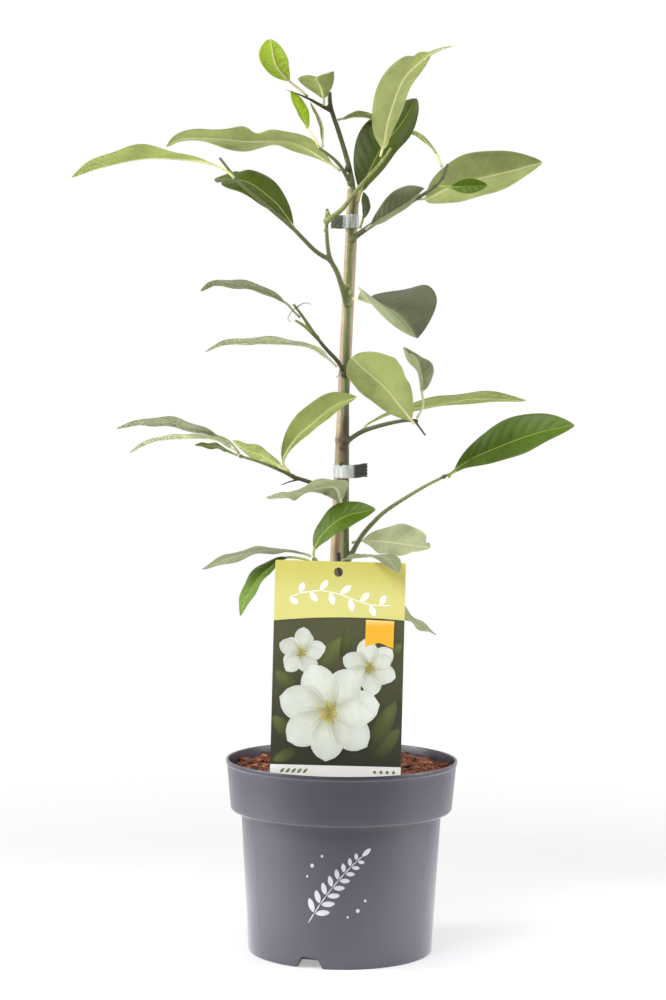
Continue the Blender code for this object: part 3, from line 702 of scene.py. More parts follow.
LEAVES = [
    Leaf("leaf_crown_round", [(-30, -9, 696), (-40, -7, 705), (-48, -8, 711), (-59, -16, 724),
         (-63, -27, 742)], 24, 27, (0.4, 0.6, 0.7), fold=6, twist=-10, broadest=0.57, wave=0.3, trim=4.0,
         blunt=0.6, pairs=6, shade=Shade.YOUNG, tone=0.95),
    Leaf("leaf_crown_slim", [(-22, -14, 655), (-27, -15, 664), (-33, -14, 673), (-39, -13, 685),
         (-47, -11, 703)], 20, 17, (0.7, -0.6, 0.4), fold=29, twist=-12, wave=0.3, trim=2.6, pairs=6,
         shade=Shade.YOUNG, tone=1.5),
    Leaf("leaf_crown_heart", [(-20, -9.8, 691.5), (-20, -10.5, 697), (-22, -15, 705), (-26, -27, 711),
         (-25, -44, 710)], 5, 30, (-0.1, 0.6, 0.8), fold=23, cup=24, twist=5, broadest=0.54, pairs=7,
         nibbles=[(0.75, 1, 0.08, 0.22), (0.6, -1, 0.07, 0.18)], shade=Shade.PALE, tone=1.15),
    Leaf("leaf_crown_sickle", [(-20.5, -12.5, 657.5), (-21, -12, 664), (-21, -8, 674), (-25, -2, 685),
         (-31, 0, 695)], 5, 12, (-0.9, 0.2, -0.2), fold=22, twist=-7, wave=0.2, pairs=6),
    Leaf("leaf_high_left", [(-3, -3, 637), (-21, -3, 650), (-46, -6, 662), (-80, -10, 662),
         (-109, -13, 664), (-135, -16, 663), (-147, -18, 656)], 12, 34, (0.0, 0.4, 0.9), fold=19,
         broadest=0.48, wave=3.0, trim=4.0,
         nibbles=[(0.48, 1, 0.09, -0.55), (0.47, -1, 0.06, 0.6), (0.34, 1, 0.05, 0.25)], tone=1.2),
    Leaf("leaf_far_left", [(-90, -38, 629), (-98, -39, 636), (-118, -38, 643), (-159, -40, 645),
         (-194, -41, 638), (-221, -39, 629)], 18, 30, (0.0, 0.2, 1.0), fold=38, cup=15, twist=-19,
         broadest=0.63, wave=1.6, trim=1.2, blunt=0.9, shade=Shade.OLIVE, tone=1.2),
    Leaf("leaf_left_dark", [(-42, -21, 590), (-47, -17, 598), (-59, -13, 613), (-79, -8, 628),
         (-95, 0, 632), (-109, 10, 633)], 4, 35, (0.3, -0.7, 0.7), fold=16, cup=22, twist=-7, broadest=0.56,
         trim=2.4, nibbles=[(0.86, -1, 0.03, 0.3), (0.78, 1, 0.04, 0.2)], shade=Shade.DARK, tone=1.15),
    Leaf("leaf_top_pale", [(26, -27.5, 649), (28, -28.5, 657), (33, -30, 682), (44, -30, 711),
         (61, -29, 728), (73, -29, 735), (85, -30, 738)], 7, 36, (-0.6, 0.7, 0.3), fold=24, cup=13,
         twist=-14, broadest=0.46, wave=0.6, blunt=0.65, drip=0.19, nibbles=[(0.70, 1, 0.03, 0.25)],
         tone=1.08),
    Leaf("leaf_top_dark", [(8.5, -3.5, 614), (12.5, -1.5, 627), (26, 4, 656), (44, 11, 680), (56, 17, 701)],
         9, 47, (-0.4, -0.8, 0.4), fold=26, cup=7, twist=-5, broadest=0.53, shade=Shade.DARK, tone=1.05),
    Leaf("leaf_top_hidden", [(-9, 0, 681), (-4, 2, 682.5), (5, 4, 684.5), (15, 6, 684), (23, 8, 681.5)], 5,
         14, (0.0, 0.2, 1.0), fold=30, twist=-12, wave=0.3, trim=0.6, pairs=6),
    Leaf("leaf_hub_thin", [(76.5, -9, 642), (73, -9, 652), (67, -8, 660), (61, -6, 666), (55, -4, 670),
         (49, -3, 671)], 12, 15, (0.7, 0.1, 0.7), fold=15, cup=30, twist=8, wave=0.2, trim=0.6, pairs=6,
         tone=1.2),
    Leaf("leaf_right_broad", [(56, -8, 616.5), (66, -2, 618.5), (84, 8, 628), (109, 15, 636),
         (132, 17, 642), (160, 17, 650)], 8, 44, (-0.3, 0.9, 0.4), fold=25, cup=0, twist=4, broadest=0.49,
         wave=1.6, trim=2.2, tone=1.0, half_shading=(1.05, 0.64)),
    Leaf("leaf_right_folded", [(12, -3, 590), (21, -16, 596), (35, -25, 605), (49, -24, 614),
         (62, -16, 625)], 13, 27, (-0.3, -0.9, 0.3), fold=45, cup=0, twist=-37, broadest=0.6, trim=6.2,
         shade=Shade.GREY, tone=0.8),
    Leaf("leaf_right_glossy", [(72, -12, 628), (78, -14, 626.5), (86, -15, 626.5), (99, -17, 627),
         (113, -18, 628)], 12, 13, (-0.1, -1.0, 0.1), fold=24, cup=11, wave=0.3, trim=2.6, pairs=6,
         shade=Shade.SUNLIT, tone=1.05),
    Leaf("leaf_stem_small", [(10.5, -6.3, 593), (12, -7.5, 598), (14.5, -9, 608), (13, -10, 622)], 8, 14,
         (0.9, -0.5, 0.0), fold=22, cup=28, twist=-10, wave=0.2, pairs=6, shade=Shade.DARK, tone=0.9),
    Leaf("leaf_mid_left_arched", [(-37.5, -16.8, 519.8), (-43, -16, 525), (-50, -18, 532), (-70, -22, 541),
         (-94, -24, 545), (-108, -24, 545), (-118, -24, 540)], 18, 28, (0.2, 0.2, 0.9), fold=16,
         shade=Shade.GREY, tone=0.8),
    Leaf("leaf_mid_left_flat", [(-7.5, -9.5, 480.5), (-16, -14, 488), (-33, -20, 497), (-68, -28, 498.5),
         (-97, -34, 497), (-113, -40, 491)], 9, 36, (0.1, 0.1, 1.0), fold=21, cup=24, twist=34,
         broadest=0.40, wave=1.4, shade=Shade.GREY, tone=1.25),
    Leaf("leaf_mid_right_drooping", [(3.5, -6.5, 536), (11, -12, 535), (23, -24, 531), (40, -49, 522),
         (56, -73, 503)], 9, 72, (0.0, -0.2, 1.0), fold=32, cup=0, twist=27, broadest=0.56, trim=2.4,
         blunt=0.62, pairs=11, shade=Shade.GREY, tone=0.44, half_shading=(0.95, 3.2)),
    Leaf("leaf_centre_pale", [(56, -18, 434.5), (46, -19, 447), (32, -20, 464), (16, -24, 477.5),
         (4.5, -28, 488)], 4, 44, (0.2, 0.9, 0.4), fold=19, cup=6, twist=-11, broadest=0.6, blunt=0.52,
         pairs=8, nibbles=[(0.42, -1, 0.07, 0.10), (0.62, -1, 0.05, -0.06), (0.85, 1, 0.07, -0.12)],
         tone=0.95, half_shading=(1.08, 0.78)),
    Leaf("leaf_centre_upright", [(57, -15, 437), (63, -13, 449), (62, -12, 462), (59, -8, 477),
         (51, -1, 486), (47, 4, 497)], 25, 28, (0.8, -0.5, 0.3), fold=50, cup=18, twist=-4, broadest=0.5,
         trim=2.6, shade=Shade.GREY, tone=1.2),
    Leaf("leaf_centre_long", [(15, -4, 429.5), (22, 3, 436), (45, 11, 445), (79, 18, 451), (112, 22, 456),
         (150, 26, 454)], 6, 29, (-0.2, 0.3, 0.9), fold=14, twist=-21, broadest=0.46, wave=1.2,
         shade=Shade.OLIVE, tone=0.85),
    Leaf("leaf_right_sunlit", [(84, -23, 391.5), (88, -24, 396.5), (103, -26, 407), (130, -29, 419),
         (157, -35, 429), (184, -41, 435)], 7, 39, (-0.4, -0.8, 0.5), fold=21, cup=5, twist=-21,
         broadest=0.56, shade=Shade.SUNLIT, tone=0.65, tip_tone=1.8),
    Leaf("leaf_left_rising", [(-42, -16, 392), (-50, -19, 403), (-41, -23, 421), (-27, -24, 434),
         (-10, -24, 448), (9, -23, 456)], 14, 31, (-0.5, 0.7, 0.6), fold=28, cup=15, broadest=0.56,
         trim=4.8, shade=Shade.OLIVE, tone=1.05, half_shading=(1.1, 0.85)),
    Leaf("leaf_low_left_outer", [(-84, -20, 407), (-94, -20, 419), (-106, -22, 424), (-132, -29, 430),
         (-157, -38, 433), (-183, -46, 429)], 26, 28, (0.1, 0.3, 0.9), fold=19, wave=1.2, trim=2.4,
         shade=Shade.GREY, tone=0.85, half_shading=(1.05, 0.7)),
    Leaf("leaf_low_left_thin", [(-85, -18, 408), (-93, -12, 413.5), (-106, -6, 420), (-127, -1, 421),
         (-156, 4, 418), (-177, 6, 408)], 10, 25, (0.1, 0.0, 1.0), fold=20, twist=18, trim=2.2,
         shade=Shade.GREY, tone=1.4),
    Leaf("leaf_low_left_tip", [(-85, -20.5, 406.5), (-92, -23.5, 410), (-103, -28.5, 414.5),
         (-121, -35, 416)], 6, 16, (-0.3, -0.4, 0.9), fold=12, twist=7, broadest=0.58, trim=2.6, pairs=6,
         shade=Shade.OLIVE, tone=0.62),
    Leaf("leaf_low_left_inner", [(-44, -12.4, 393.4), (-54, -10, 400), (-68, -7, 408), (-82, -4, 413),
         (-92, 0, 419)], 7, 23, (0.4, 0.5, 0.8), fold=10, twist=-11, broadest=0.56, pairs=8,
         shade=Shade.OLIVE, tone=1.1),
    Leaf("leaf_low_twisted", [(-2.4, -8.8, 367), (-4, -16, 374), (-9, -24, 383), (-25, -34, 382),
         (-43, -42, 377), (-63, -50, 375)], 6, 36, (-0.4, 0.2, 0.9), fold=14, cup=23, twist=-3, wave=1.8,
         nibbles=[(0.55, 1, 0.09, -0.5), (0.72, 1, 0.05, 0.3), (0.8, -1, 0.05, 0.3)], shade=Shade.GREY,
         tone=1.2),
    Leaf("leaf_low_bright", [(-24, -25, 324), (-24, -24, 332), (-16, -27, 346), (0, -33, 359),
         (25, -40, 366)], 8, 28, (-0.7, -0.6, 0.4), fold=19, twist=-5, trim=2.4, shade=Shade.SUNLIT,
         tone=1.0),
    Leaf("leaf_low_left_long", [(-25, -25, 324.5), (-30, -26, 328), (-45, -27, 331), (-66, -31, 331),
         (-90, -35, 326), (-114, -38, 316)], 8, 33, (0.0, -0.1, 1.0), fold=13, cup=26, twist=-14, wave=1.6,
         trim=2.6, shade=Shade.GREY, tone=0.85),
    Leaf("leaf_low_left_hanging", [(-25, -25.5, 321.5), (-35, -29, 325), (-49, -33, 325), (-66, -37, 312),
         (-77, -40, 295), (-83, -41, 279)], 22, 30, (-0.5, -0.3, 0.8), fold=21, cup=27, trim=2.8,
         shade=Shade.SUNLIT, tone=1.1),
    Leaf("leaf_low_right_pale", [(6.6, -1.5, 336.3), (14, -2.5, 338), (29, 0, 338), (47, 9, 335.5),
         (72, 25, 331)], 9, 38, (-0.2, 0.7, 0.7), fold=16, cup=12, wave=1.2,
         nibbles=[(0.90, 1, 0.03, 0.5), (0.82, -1, 0.04, 0.2)], shade=Shade.GREY, tone=1.35),
    Leaf("leaf_over_label", [(-1.5, -9.4, 322.5), (5, -18, 325), (18, -38, 328), (32, -60, 328.8),
         (43, -79, 318.5)], 8, 30, (0.0, 0.1, 1.0), fold=8, cup=10, twist=4, wave=0.6, shade=Shade.GREY,
         tone=0.95),
    Leaf("leaf_behind_label", [(5, -4, 296), (26, -15, 293), (47, -27, 281), (60, -33, 273),
         (75, -39, 265)], 30, 27, (0.6, 0.3, 0.7), fold=13, twist=14, wave=1.8, trim=2.6, shade=Shade.GREY),
]


class Section(NamedTuple):
    """One cross-section of a leaf, in mm, share None on the bare stalk."""

    centre: Vector
    share: Optional[float]
    along: float
    half: float
    across: Vector
    up: Vector


@dataclass
class Foliage:
    """All leaves, each a thin two-sided blade with its midrib standing out below."""

    columns: int = 24
    blade_rows: int = 84
    stalk_rows: int = 5
    petiole_half: float = 1.0
    petiole_thick: float = 2.0
    drip_half: float = 1.8
    edge_thick: float = 0.45
    rib_thick: float = 1.9
    rib_tip: float = 0.7
    rib_spread: float = 0.8
    quilt_rise: float = 0.3
    crowding: float = 1.25
    opening: float = 0.08
    waves: int = 5
    wave_lag: float = 1.3
    rib_sink: float = 0.42
    margin: float = 0.07
    stalk_fade: float = 0.03
    merge: float = 0.04
    finishes: dict[Shade, tuple[Material, Material]] = field(default_factory=dict)

    def dress(self, mottle: Tree) -> None:
        """Make the two materials of every shade."""
        veins = build_vein_group()
        for shade, finish in LEAF_FINISHES.items():
            upper = finish.side(f"leaf_{shade.value}_upper", False, veins, mottle)
            under = finish.side(f"leaf_{shade.value}_under", True, veins, mottle)
            self.finishes[shade] = (upper, under)

    def half_width(self, leaf: Leaf, share: float) -> float:
        """Half of the blade's width at a share of its length, mm."""
        skew = math.log(0.5) / math.log(leaf.broadest)
        body = min(1.0, share / (1 - leaf.drip))
        bulge = math.sin(math.pi * min(1.0, body ** skew))
        blade = leaf.width / 2 * max(0.0, bulge) ** leaf.blunt
        thread = min(self.drip_half, self.drip_half * (1 - share) / leaf.drip) if leaf.drip else 0.0
        return max(blade, thread, self.petiole_half * (1 - share))

    def sections(self, leaf: Leaf) -> list[Section]:
        """Cross-sections from the cut stalk to the tip.

        Args:
            leaf: the leaf.

        Returns:
            Its sections, evenly spaced on the stalk and on the blade.
        """
        path = smooth_path(leaf.rib, 1.0)
        reach = [0.0]
        for a, b in zip(path, path[1:]):
            reach.append(reach[-1] + (b - a).length)

        def place(distance: float) -> Vector:
            """Point of the midrib at a distance from its start."""
            index = next((k for k in range(1, len(path)) if reach[k] >= distance), len(path) - 1)
            before, after = reach[index - 1], reach[index]
            return path[index - 1].lerp(path[index], (distance - before) / (after - before))

        bare = leaf.petiole - leaf.trim
        blade = reach[-1] - leaf.petiole
        stations = [(leaf.trim + bare * k / self.stalk_rows, None) for k in range(self.stalk_rows)]
        stations += [(leaf.petiole + blade * k / self.blade_rows, k / self.blade_rows)
                     for k in range(self.blade_rows + 1)]
        facing = Vector(leaf.facing)
        made = []
        for distance, share in stations:
            ahead = place(min(reach[-1], distance + 1.0))
            heading = (ahead - place(max(0.0, distance - 1.0))).normalized()
            up = (facing - facing.dot(heading) * heading).normalized()
            up = Matrix.Rotation(math.radians(leaf.twist * ((share or 0.0) - 0.5)), 3, heading) @ up
            half = self.petiole_half if share is None else self.half_width(leaf, share)
            made.append(Section(place(distance), share, distance, half, heading.cross(up), up))
        return made

    def point(self, leaf: Leaf, section: Section, side: float) -> tuple[Vector, float, float]:
        """Where a point of the blade's middle surface lies.

        Args:
            leaf: the leaf.
            section: its cross-section.
            side: from -1 to 1 across it.

        Returns:
            The point in mm, the blade's thickness there, and its distance from the midrib.
        """
        centre, share, _, half, across, up = section
        if share is None:
            thick = max(0.5, self.petiole_thick * math.sqrt(max(0.0, 1 - side * side)))
            return centre + across * side * half, thick, 0.0
        for start, where, width, depth in leaf.nibbles:
            if side * where > 0:
                half *= 1 - depth * math.exp(-((share - start) / width) ** 2)
        open_out = min(1.0, share / self.opening)
        open_out *= open_out * (3 - 2 * open_out)
        rise = math.radians(leaf.fold - leaf.cup * abs(side) / 2) * open_out
        lateral = half * side * math.cos(rise)
        lift = half * abs(side) * math.sin(rise)
        phase = self.wave_lag if side > 0 else 0.0
        ripple = math.sin(self.waves * math.pi * share + phase)
        lift += leaf.wave * side ** 2 * ripple * math.sin(math.pi * share)
        from_rib = abs(side) * half
        stagger = VEIN_STAGGER if side > 0 else 0.0
        beat = (share - VEIN_SLANT * abs(side) ** VEIN_CURVE) * leaf.pairs + stagger
        hill = math.sin(math.pi * beat) ** 2 * math.sin(math.pi * min(1.0, share))
        hill *= math.sin(math.pi * abs(side))
        lift += self.quilt_rise * hill
        ridge = (self.rib_thick + (self.rib_tip - self.rib_thick) * share ** 0.7) - self.edge_thick
        ridge *= math.exp(-(from_rib / self.rib_spread) ** 2)
        ridge *= min(1.0, half)
        stalk = (1 - open_out) * max(0.0, 1 - (side * side)) * (self.petiole_thick - self.rib_thick)
        lift -= ridge * self.rib_sink * open_out
        return centre + across * lateral + up * lift, self.edge_thick + ridge + stalk, from_rib

    def build(self, leaf: Leaf) -> Thing:
        """Build one leaf as a closed two-sided blade.

        Args:
            leaf: the leaf.

        Returns:
            Its finished object.
        """
        sections = self.sections(leaf)
        rows = len(sections) - 1
        shape = bmesh.new()
        bmesh.ops.create_grid(shape, x_segments=self.columns, y_segments=rows, size=1.0)
        depth = shape.verts.layers.deform.new()
        chart = shape.loops.layers.uv.new("leaf_map")
        values = {name: shape.verts.layers.float.new(name)
                  for name in ("from_rib", "margin", "stalk", "tone", "pairs")}
        spots = {}
        for vert in shape.verts:
            side = math.copysign(abs(vert.co.x) ** self.crowding, vert.co.x)
            section = sections[round((vert.co.y + 1) / 2 * rows)]
            place, thick, from_rib = self.point(leaf, section, side)
            share = section.share or 0.0
            spots[vert] = (side / 2 + 0.5, share)
            vert.co = place * MM
            vert[depth][0] = thick / self.petiole_thick
            vert[values["from_rib"]] = from_rib
            near_edge = (abs(side) - (1 - self.margin)) / self.margin
            vert[values["margin"]] = max(0.0, near_edge) if share > 0 else 0.0
            vert[values["stalk"]] = 1.0 if section.share is None else max(0.0, 1 - share / self.stalk_fade)
            # Painted light and shade: one side of the midrib is coloured lighter or darker than the other
            past_rib = min(1.0, max(0.0, side * 4 + 0.5))
            painted_half_shade = leaf.half_shading[0] + (leaf.half_shading[1] - leaf.half_shading[0]) * past_rib
            vert[values["tone"]] = leaf.tone * painted_half_shade * (1 + (leaf.tip_tone - 1) * share ** 2)
            vert[values["pairs"]] = leaf.pairs
        for face in shape.faces:
            for loop in face.loops:
                loop[chart].uv = spots[loop.vert]
        bmesh.ops.remove_doubles(shape, verts=shape.verts, dist=self.merge * MM)
        piece = settle(leaf.name + "_blade", shape, *self.finishes[leaf.shade], sharp=55.0)
        piece.vertex_groups.new(name="thickness")
        solid = piece.modifiers.new("blade", "SOLIDIFY")
        solid.thickness = self.petiole_thick * MM
        solid.offset = 0.0
        solid.vertex_group = "thickness"
        solid.thickness_vertex_group = 0.0
        solid.material_offset = 1
        piece.cycles.shadow_terminator_offset = 0.2
        piece.cycles.shadow_terminator_geometry_offset = 0.5
        return clothe(piece, LEAF_FINISHES[leaf.shade].slot, leaf.name)


@dataclass(frozen=True)
class PlasticFinish:
    """Satin moulded plastic of the pot, with faint patches."""

    body: Colour = (0.033, 0.031, 0.043)
    worn: Colour = (0.039, 0.037, 0.050)
    roughness: float = 0.27

    def build(self, mottle: Tree) -> Material:
        """Material with a slightly uneven colour."""
        finish = new_finish("pot_plastic")
        sketch = finish.sketch
        place = sketch.object_place()
        patch = place_group(sketch, mottle, Vector=place, Patch_Scale=22.0)
        body = sketch.blend(sketch.times(patch.outputs["Patches"], 0.45), self.body, self.worn)
        finish.set(Base_Color=body, Roughness=self.roughness, Specular_IOR_Level=0.5)
        return finish.material


@dataclass
class Pot:
    """Round nursery pot with a deep collar, drain notches and a pale printed sprig."""

    height: float = 157.4
    rim: float = 95.0
    collar_height: float = 41.0
    collar_foot: float = 91.2
    wall_top: float = 82.4
    foot: float = 75.8
    wall: float = 1.8
    floor: float = 2.2
    channel: float = 5.0
    channel_inner: float = 46.0
    channel_outer: float = 70.0
    steps: int = 144
    ring_spacing: float = 5.0
    edge_round: float = 0.5
    notches: int = 3
    notch_turn: float = -19.0
    notch_top: Flat = (13.0, 9.0)
    notch_foot: Flat = (24.4, -1.5)
    notch_round: float = 1.2
    plastic: PlasticFinish = PlasticFinish()

    def inner(self, inset: float) -> list[Flat]:
        """Inside of the pot from the floor's centre to the rim, moved in by an inset."""
        step = self.height - self.collar_height
        deck = self.channel + self.floor + inset
        return [
            (0, self.floor + inset),
            (self.channel_inner - 1 - inset, self.floor + inset),
            (self.channel_inner + 3 - inset, deck),
            (self.foot - self.wall - 3 - inset, deck),
            (self.foot - self.wall + 0.5 - inset, deck + 4),
            (self.wall_top - self.wall - inset, step + self.wall + inset),
            (self.collar_foot - self.wall - inset, step + self.wall + 1.2 + inset),
            (self.rim - self.wall - inset, self.height),
        ]

    def outer(self) -> list[Flat]:
        """Outside of the pot from the rim down to the middle of its underside."""
        step = self.height - self.collar_height
        return [
            (self.rim - self.wall + 0.4, self.height + 0.5),
            (self.rim + 0.25, self.height + 0.5),
            (self.rim + 0.15, self.height - 2.6),
            (self.rim - 0.55, self.height - 3.4),
            (self.collar_foot, step + 1.6),
            (self.collar_foot - 1.4, step),
            (self.wall_top, step - 0.6),
            (self.foot, 0.0),
            (self.channel_outer + 1.0, 0.0),
            (self.channel_outer, self.channel),
            (self.channel_inner + 4, self.channel),
            (self.channel_inner, 0.0),
            (0, 0),
        ]

    def build(self, material: Material) -> Thing:
        """Turn the pot and cut its drain notches."""
        profile = ringed(rounded(self.inner(0) + self.outer(), self.edge_round), self.ring_spacing)
        piece = settle("pot_body", lathe(profile, self.steps), material, sharp=35.0)
        cut(piece, [self.notch(index) for index in range(self.notches)])
        return clothe(piece, "pot_plastic", "pot")

    def notch(self, index: int) -> Thing:
        """Tapered block that cuts one drain notch, with rounded upper corners."""
        shape = bmesh.new()
        bmesh.ops.create_cube(shape, size=1.0)
        for vert in shape.verts:
            high = vert.co.z > 0
            width, level = self.notch_top if high else self.notch_foot
            reach = self.foot + 6 if vert.co.y < 0 else self.foot - 8.5
            vert.co = Vector((math.copysign(width / 2, vert.co.x), -reach, level)) * MM
        near_top = (self.notch_top[1] - 1) * MM
        edges = [e for e in shape.edges if all(v.co.z > near_top for v in e.verts)
                 and abs(e.verts[0].co.x - e.verts[1].co.x) < MM]
        bmesh.ops.bevel(shape, geom=edges, offset=self.notch_round * MM, segments=3, profile=0.5,
                        affect="EDGES", material=-1)
        turn = math.radians(self.notch_turn + 360 / self.notches * index)
        bmesh.ops.rotate(shape, verts=shape.verts, cent=(0, 0, 0), matrix=Matrix.Rotation(turn, 3, "Z"))
        return settle(f"notch_{index}", shape)

    def wall_radius(self, height: float) -> float:
        """Radius of the outer wall below the collar, mm."""
        step = self.height - self.collar_height
        return self.foot + (self.wall_top - self.foot) * height / (step - 0.6)


@dataclass
class PotPrint:
    """Pale sprig printed on the pot: a bent stalk with paired leaves and a few dots."""

    pot: Pot
    centre: Flat = (-2.3, 70.0)
    lift: float = 0.06
    thick: float = 0.05
    pale: Colour = (0.44, 0.43, 0.47)
    leaf_swing: float = 50.0
    dots: tuple[tuple[float, float, float], ...] = (
        (16, -22, 1.5), (22, -14, 1.1), (8, -27, 0.9), (-21, 14, 1.5), (-13, 22, 1.1), (-25, 5, 0.9))

    def finish(self) -> Material:
        """Matt silver-white ink."""
        finish = new_finish("pot_ink")
        sketch = finish.sketch
        place = sketch.object_place()
        worn = sketch.step(sketch.grain(place, 900.0), 0.35, 0.75)
        finish.set(Base_Color=sketch.blend(worn, dimmed(self.pale, 0.8), self.pale), Roughness=0.5)
        return finish.material

    def sprig(self, shape: Shape) -> None:
        """Lay out the stalk, its paired leaves and the dots on a flat sheet, mm from the print's middle."""
        stalk = [Vector((-24 + 4.8 * k, -27 + 5.9 * k - 0.24 * (k - 5) ** 2)) for k in range(10)]
        for index, (here, there) in enumerate(zip(stalk, stalk[1:])):
            sheet(shape, here, there + (there - here) * 0.12, 0.42, 0.0, 1.0, 0.5)
            heading = (there - here).normalized()
            for swing in (self.leaf_swing, -self.leaf_swing) if index else ():
                arm = turned(heading, math.radians(swing))
                length = 14.0 - 0.9 * index
                sheet(shape, here + arm * 1.3, here + arm * length, 2.5 - 0.13 * index, 0.0, 1.0, 0.5)
        end = stalk[-1] + (stalk[-1] - stalk[-2]).normalized() * 9
        sheet(shape, stalk[-1], end, 1.9, 0.0, 1.0, 0.5)
        for x, y, r in self.dots:
            sheet(shape, (x - r, y), (x + r, y), r * 1.1, 0.0, 1.0, 0.5)

    def build(self) -> Thing:
        """Wrap the sprig round the pot's wall as one thin film."""
        whole = open_mesh()
        self.sprig(whole)
        bmesh.ops.remove_doubles(whole, verts=whole.verts, dist=WELD)
        for vert in whole.verts:
            x, y, _ = vert.co / MM
            height = self.centre[1] + y
            radius = self.pot.wall_radius(height) + self.lift
            turn = (x + self.centre[0]) / self.pot.wall_radius(height)
            vert.co = Vector((radius * math.sin(turn), -radius * math.cos(turn), height)) * MM
        return clothe(thicken(settle("pot_print", whole, self.finish()), self.thick), "pot_plastic")


@dataclass(frozen=True)
class CoirFinish:
    """Rough red-brown coir and bark."""

    dark: Colour = (0.05, 0.016, 0.010)
    middle: Colour = (0.20, 0.064, 0.034)
    light: Colour = (0.42, 0.17, 0.09)

    def build(self, name: str, mottle: Tree, piecewise: bool) -> Material:
        """Material of the bed, or of the loose pieces that carry their own tint.

        Args:
            name: the material's name.
            mottle: the mottle group.
            piecewise: True where each loose piece has its own chip value.

        Returns:
            The material.
        """
        finish = new_finish(name)
        sketch = finish.sketch
        place = sketch.object_place()
        patch = place_group(sketch, mottle, Vector=place, Patch_Scale=190.0, Grain_Scale=1300.0)
        base = sketch.attribute("chip") if piecewise else patch.outputs["Patches"]
        body = sketch.ramp(base, ((0.0, self.dark), (0.55, self.middle), (1.0, self.light)))
        low = dimmed(self.middle, 0.35)
        body = sketch.wash(body, low, patch.outputs["Grain"], 0.35)
        finish.set(Base_Color=body, Roughness=0.85, Normal=sketch.bump(patch.outputs["Grain"], 0.0006, 0.8),
                   Specular_IOR_Level=0.25)
        return finish.material


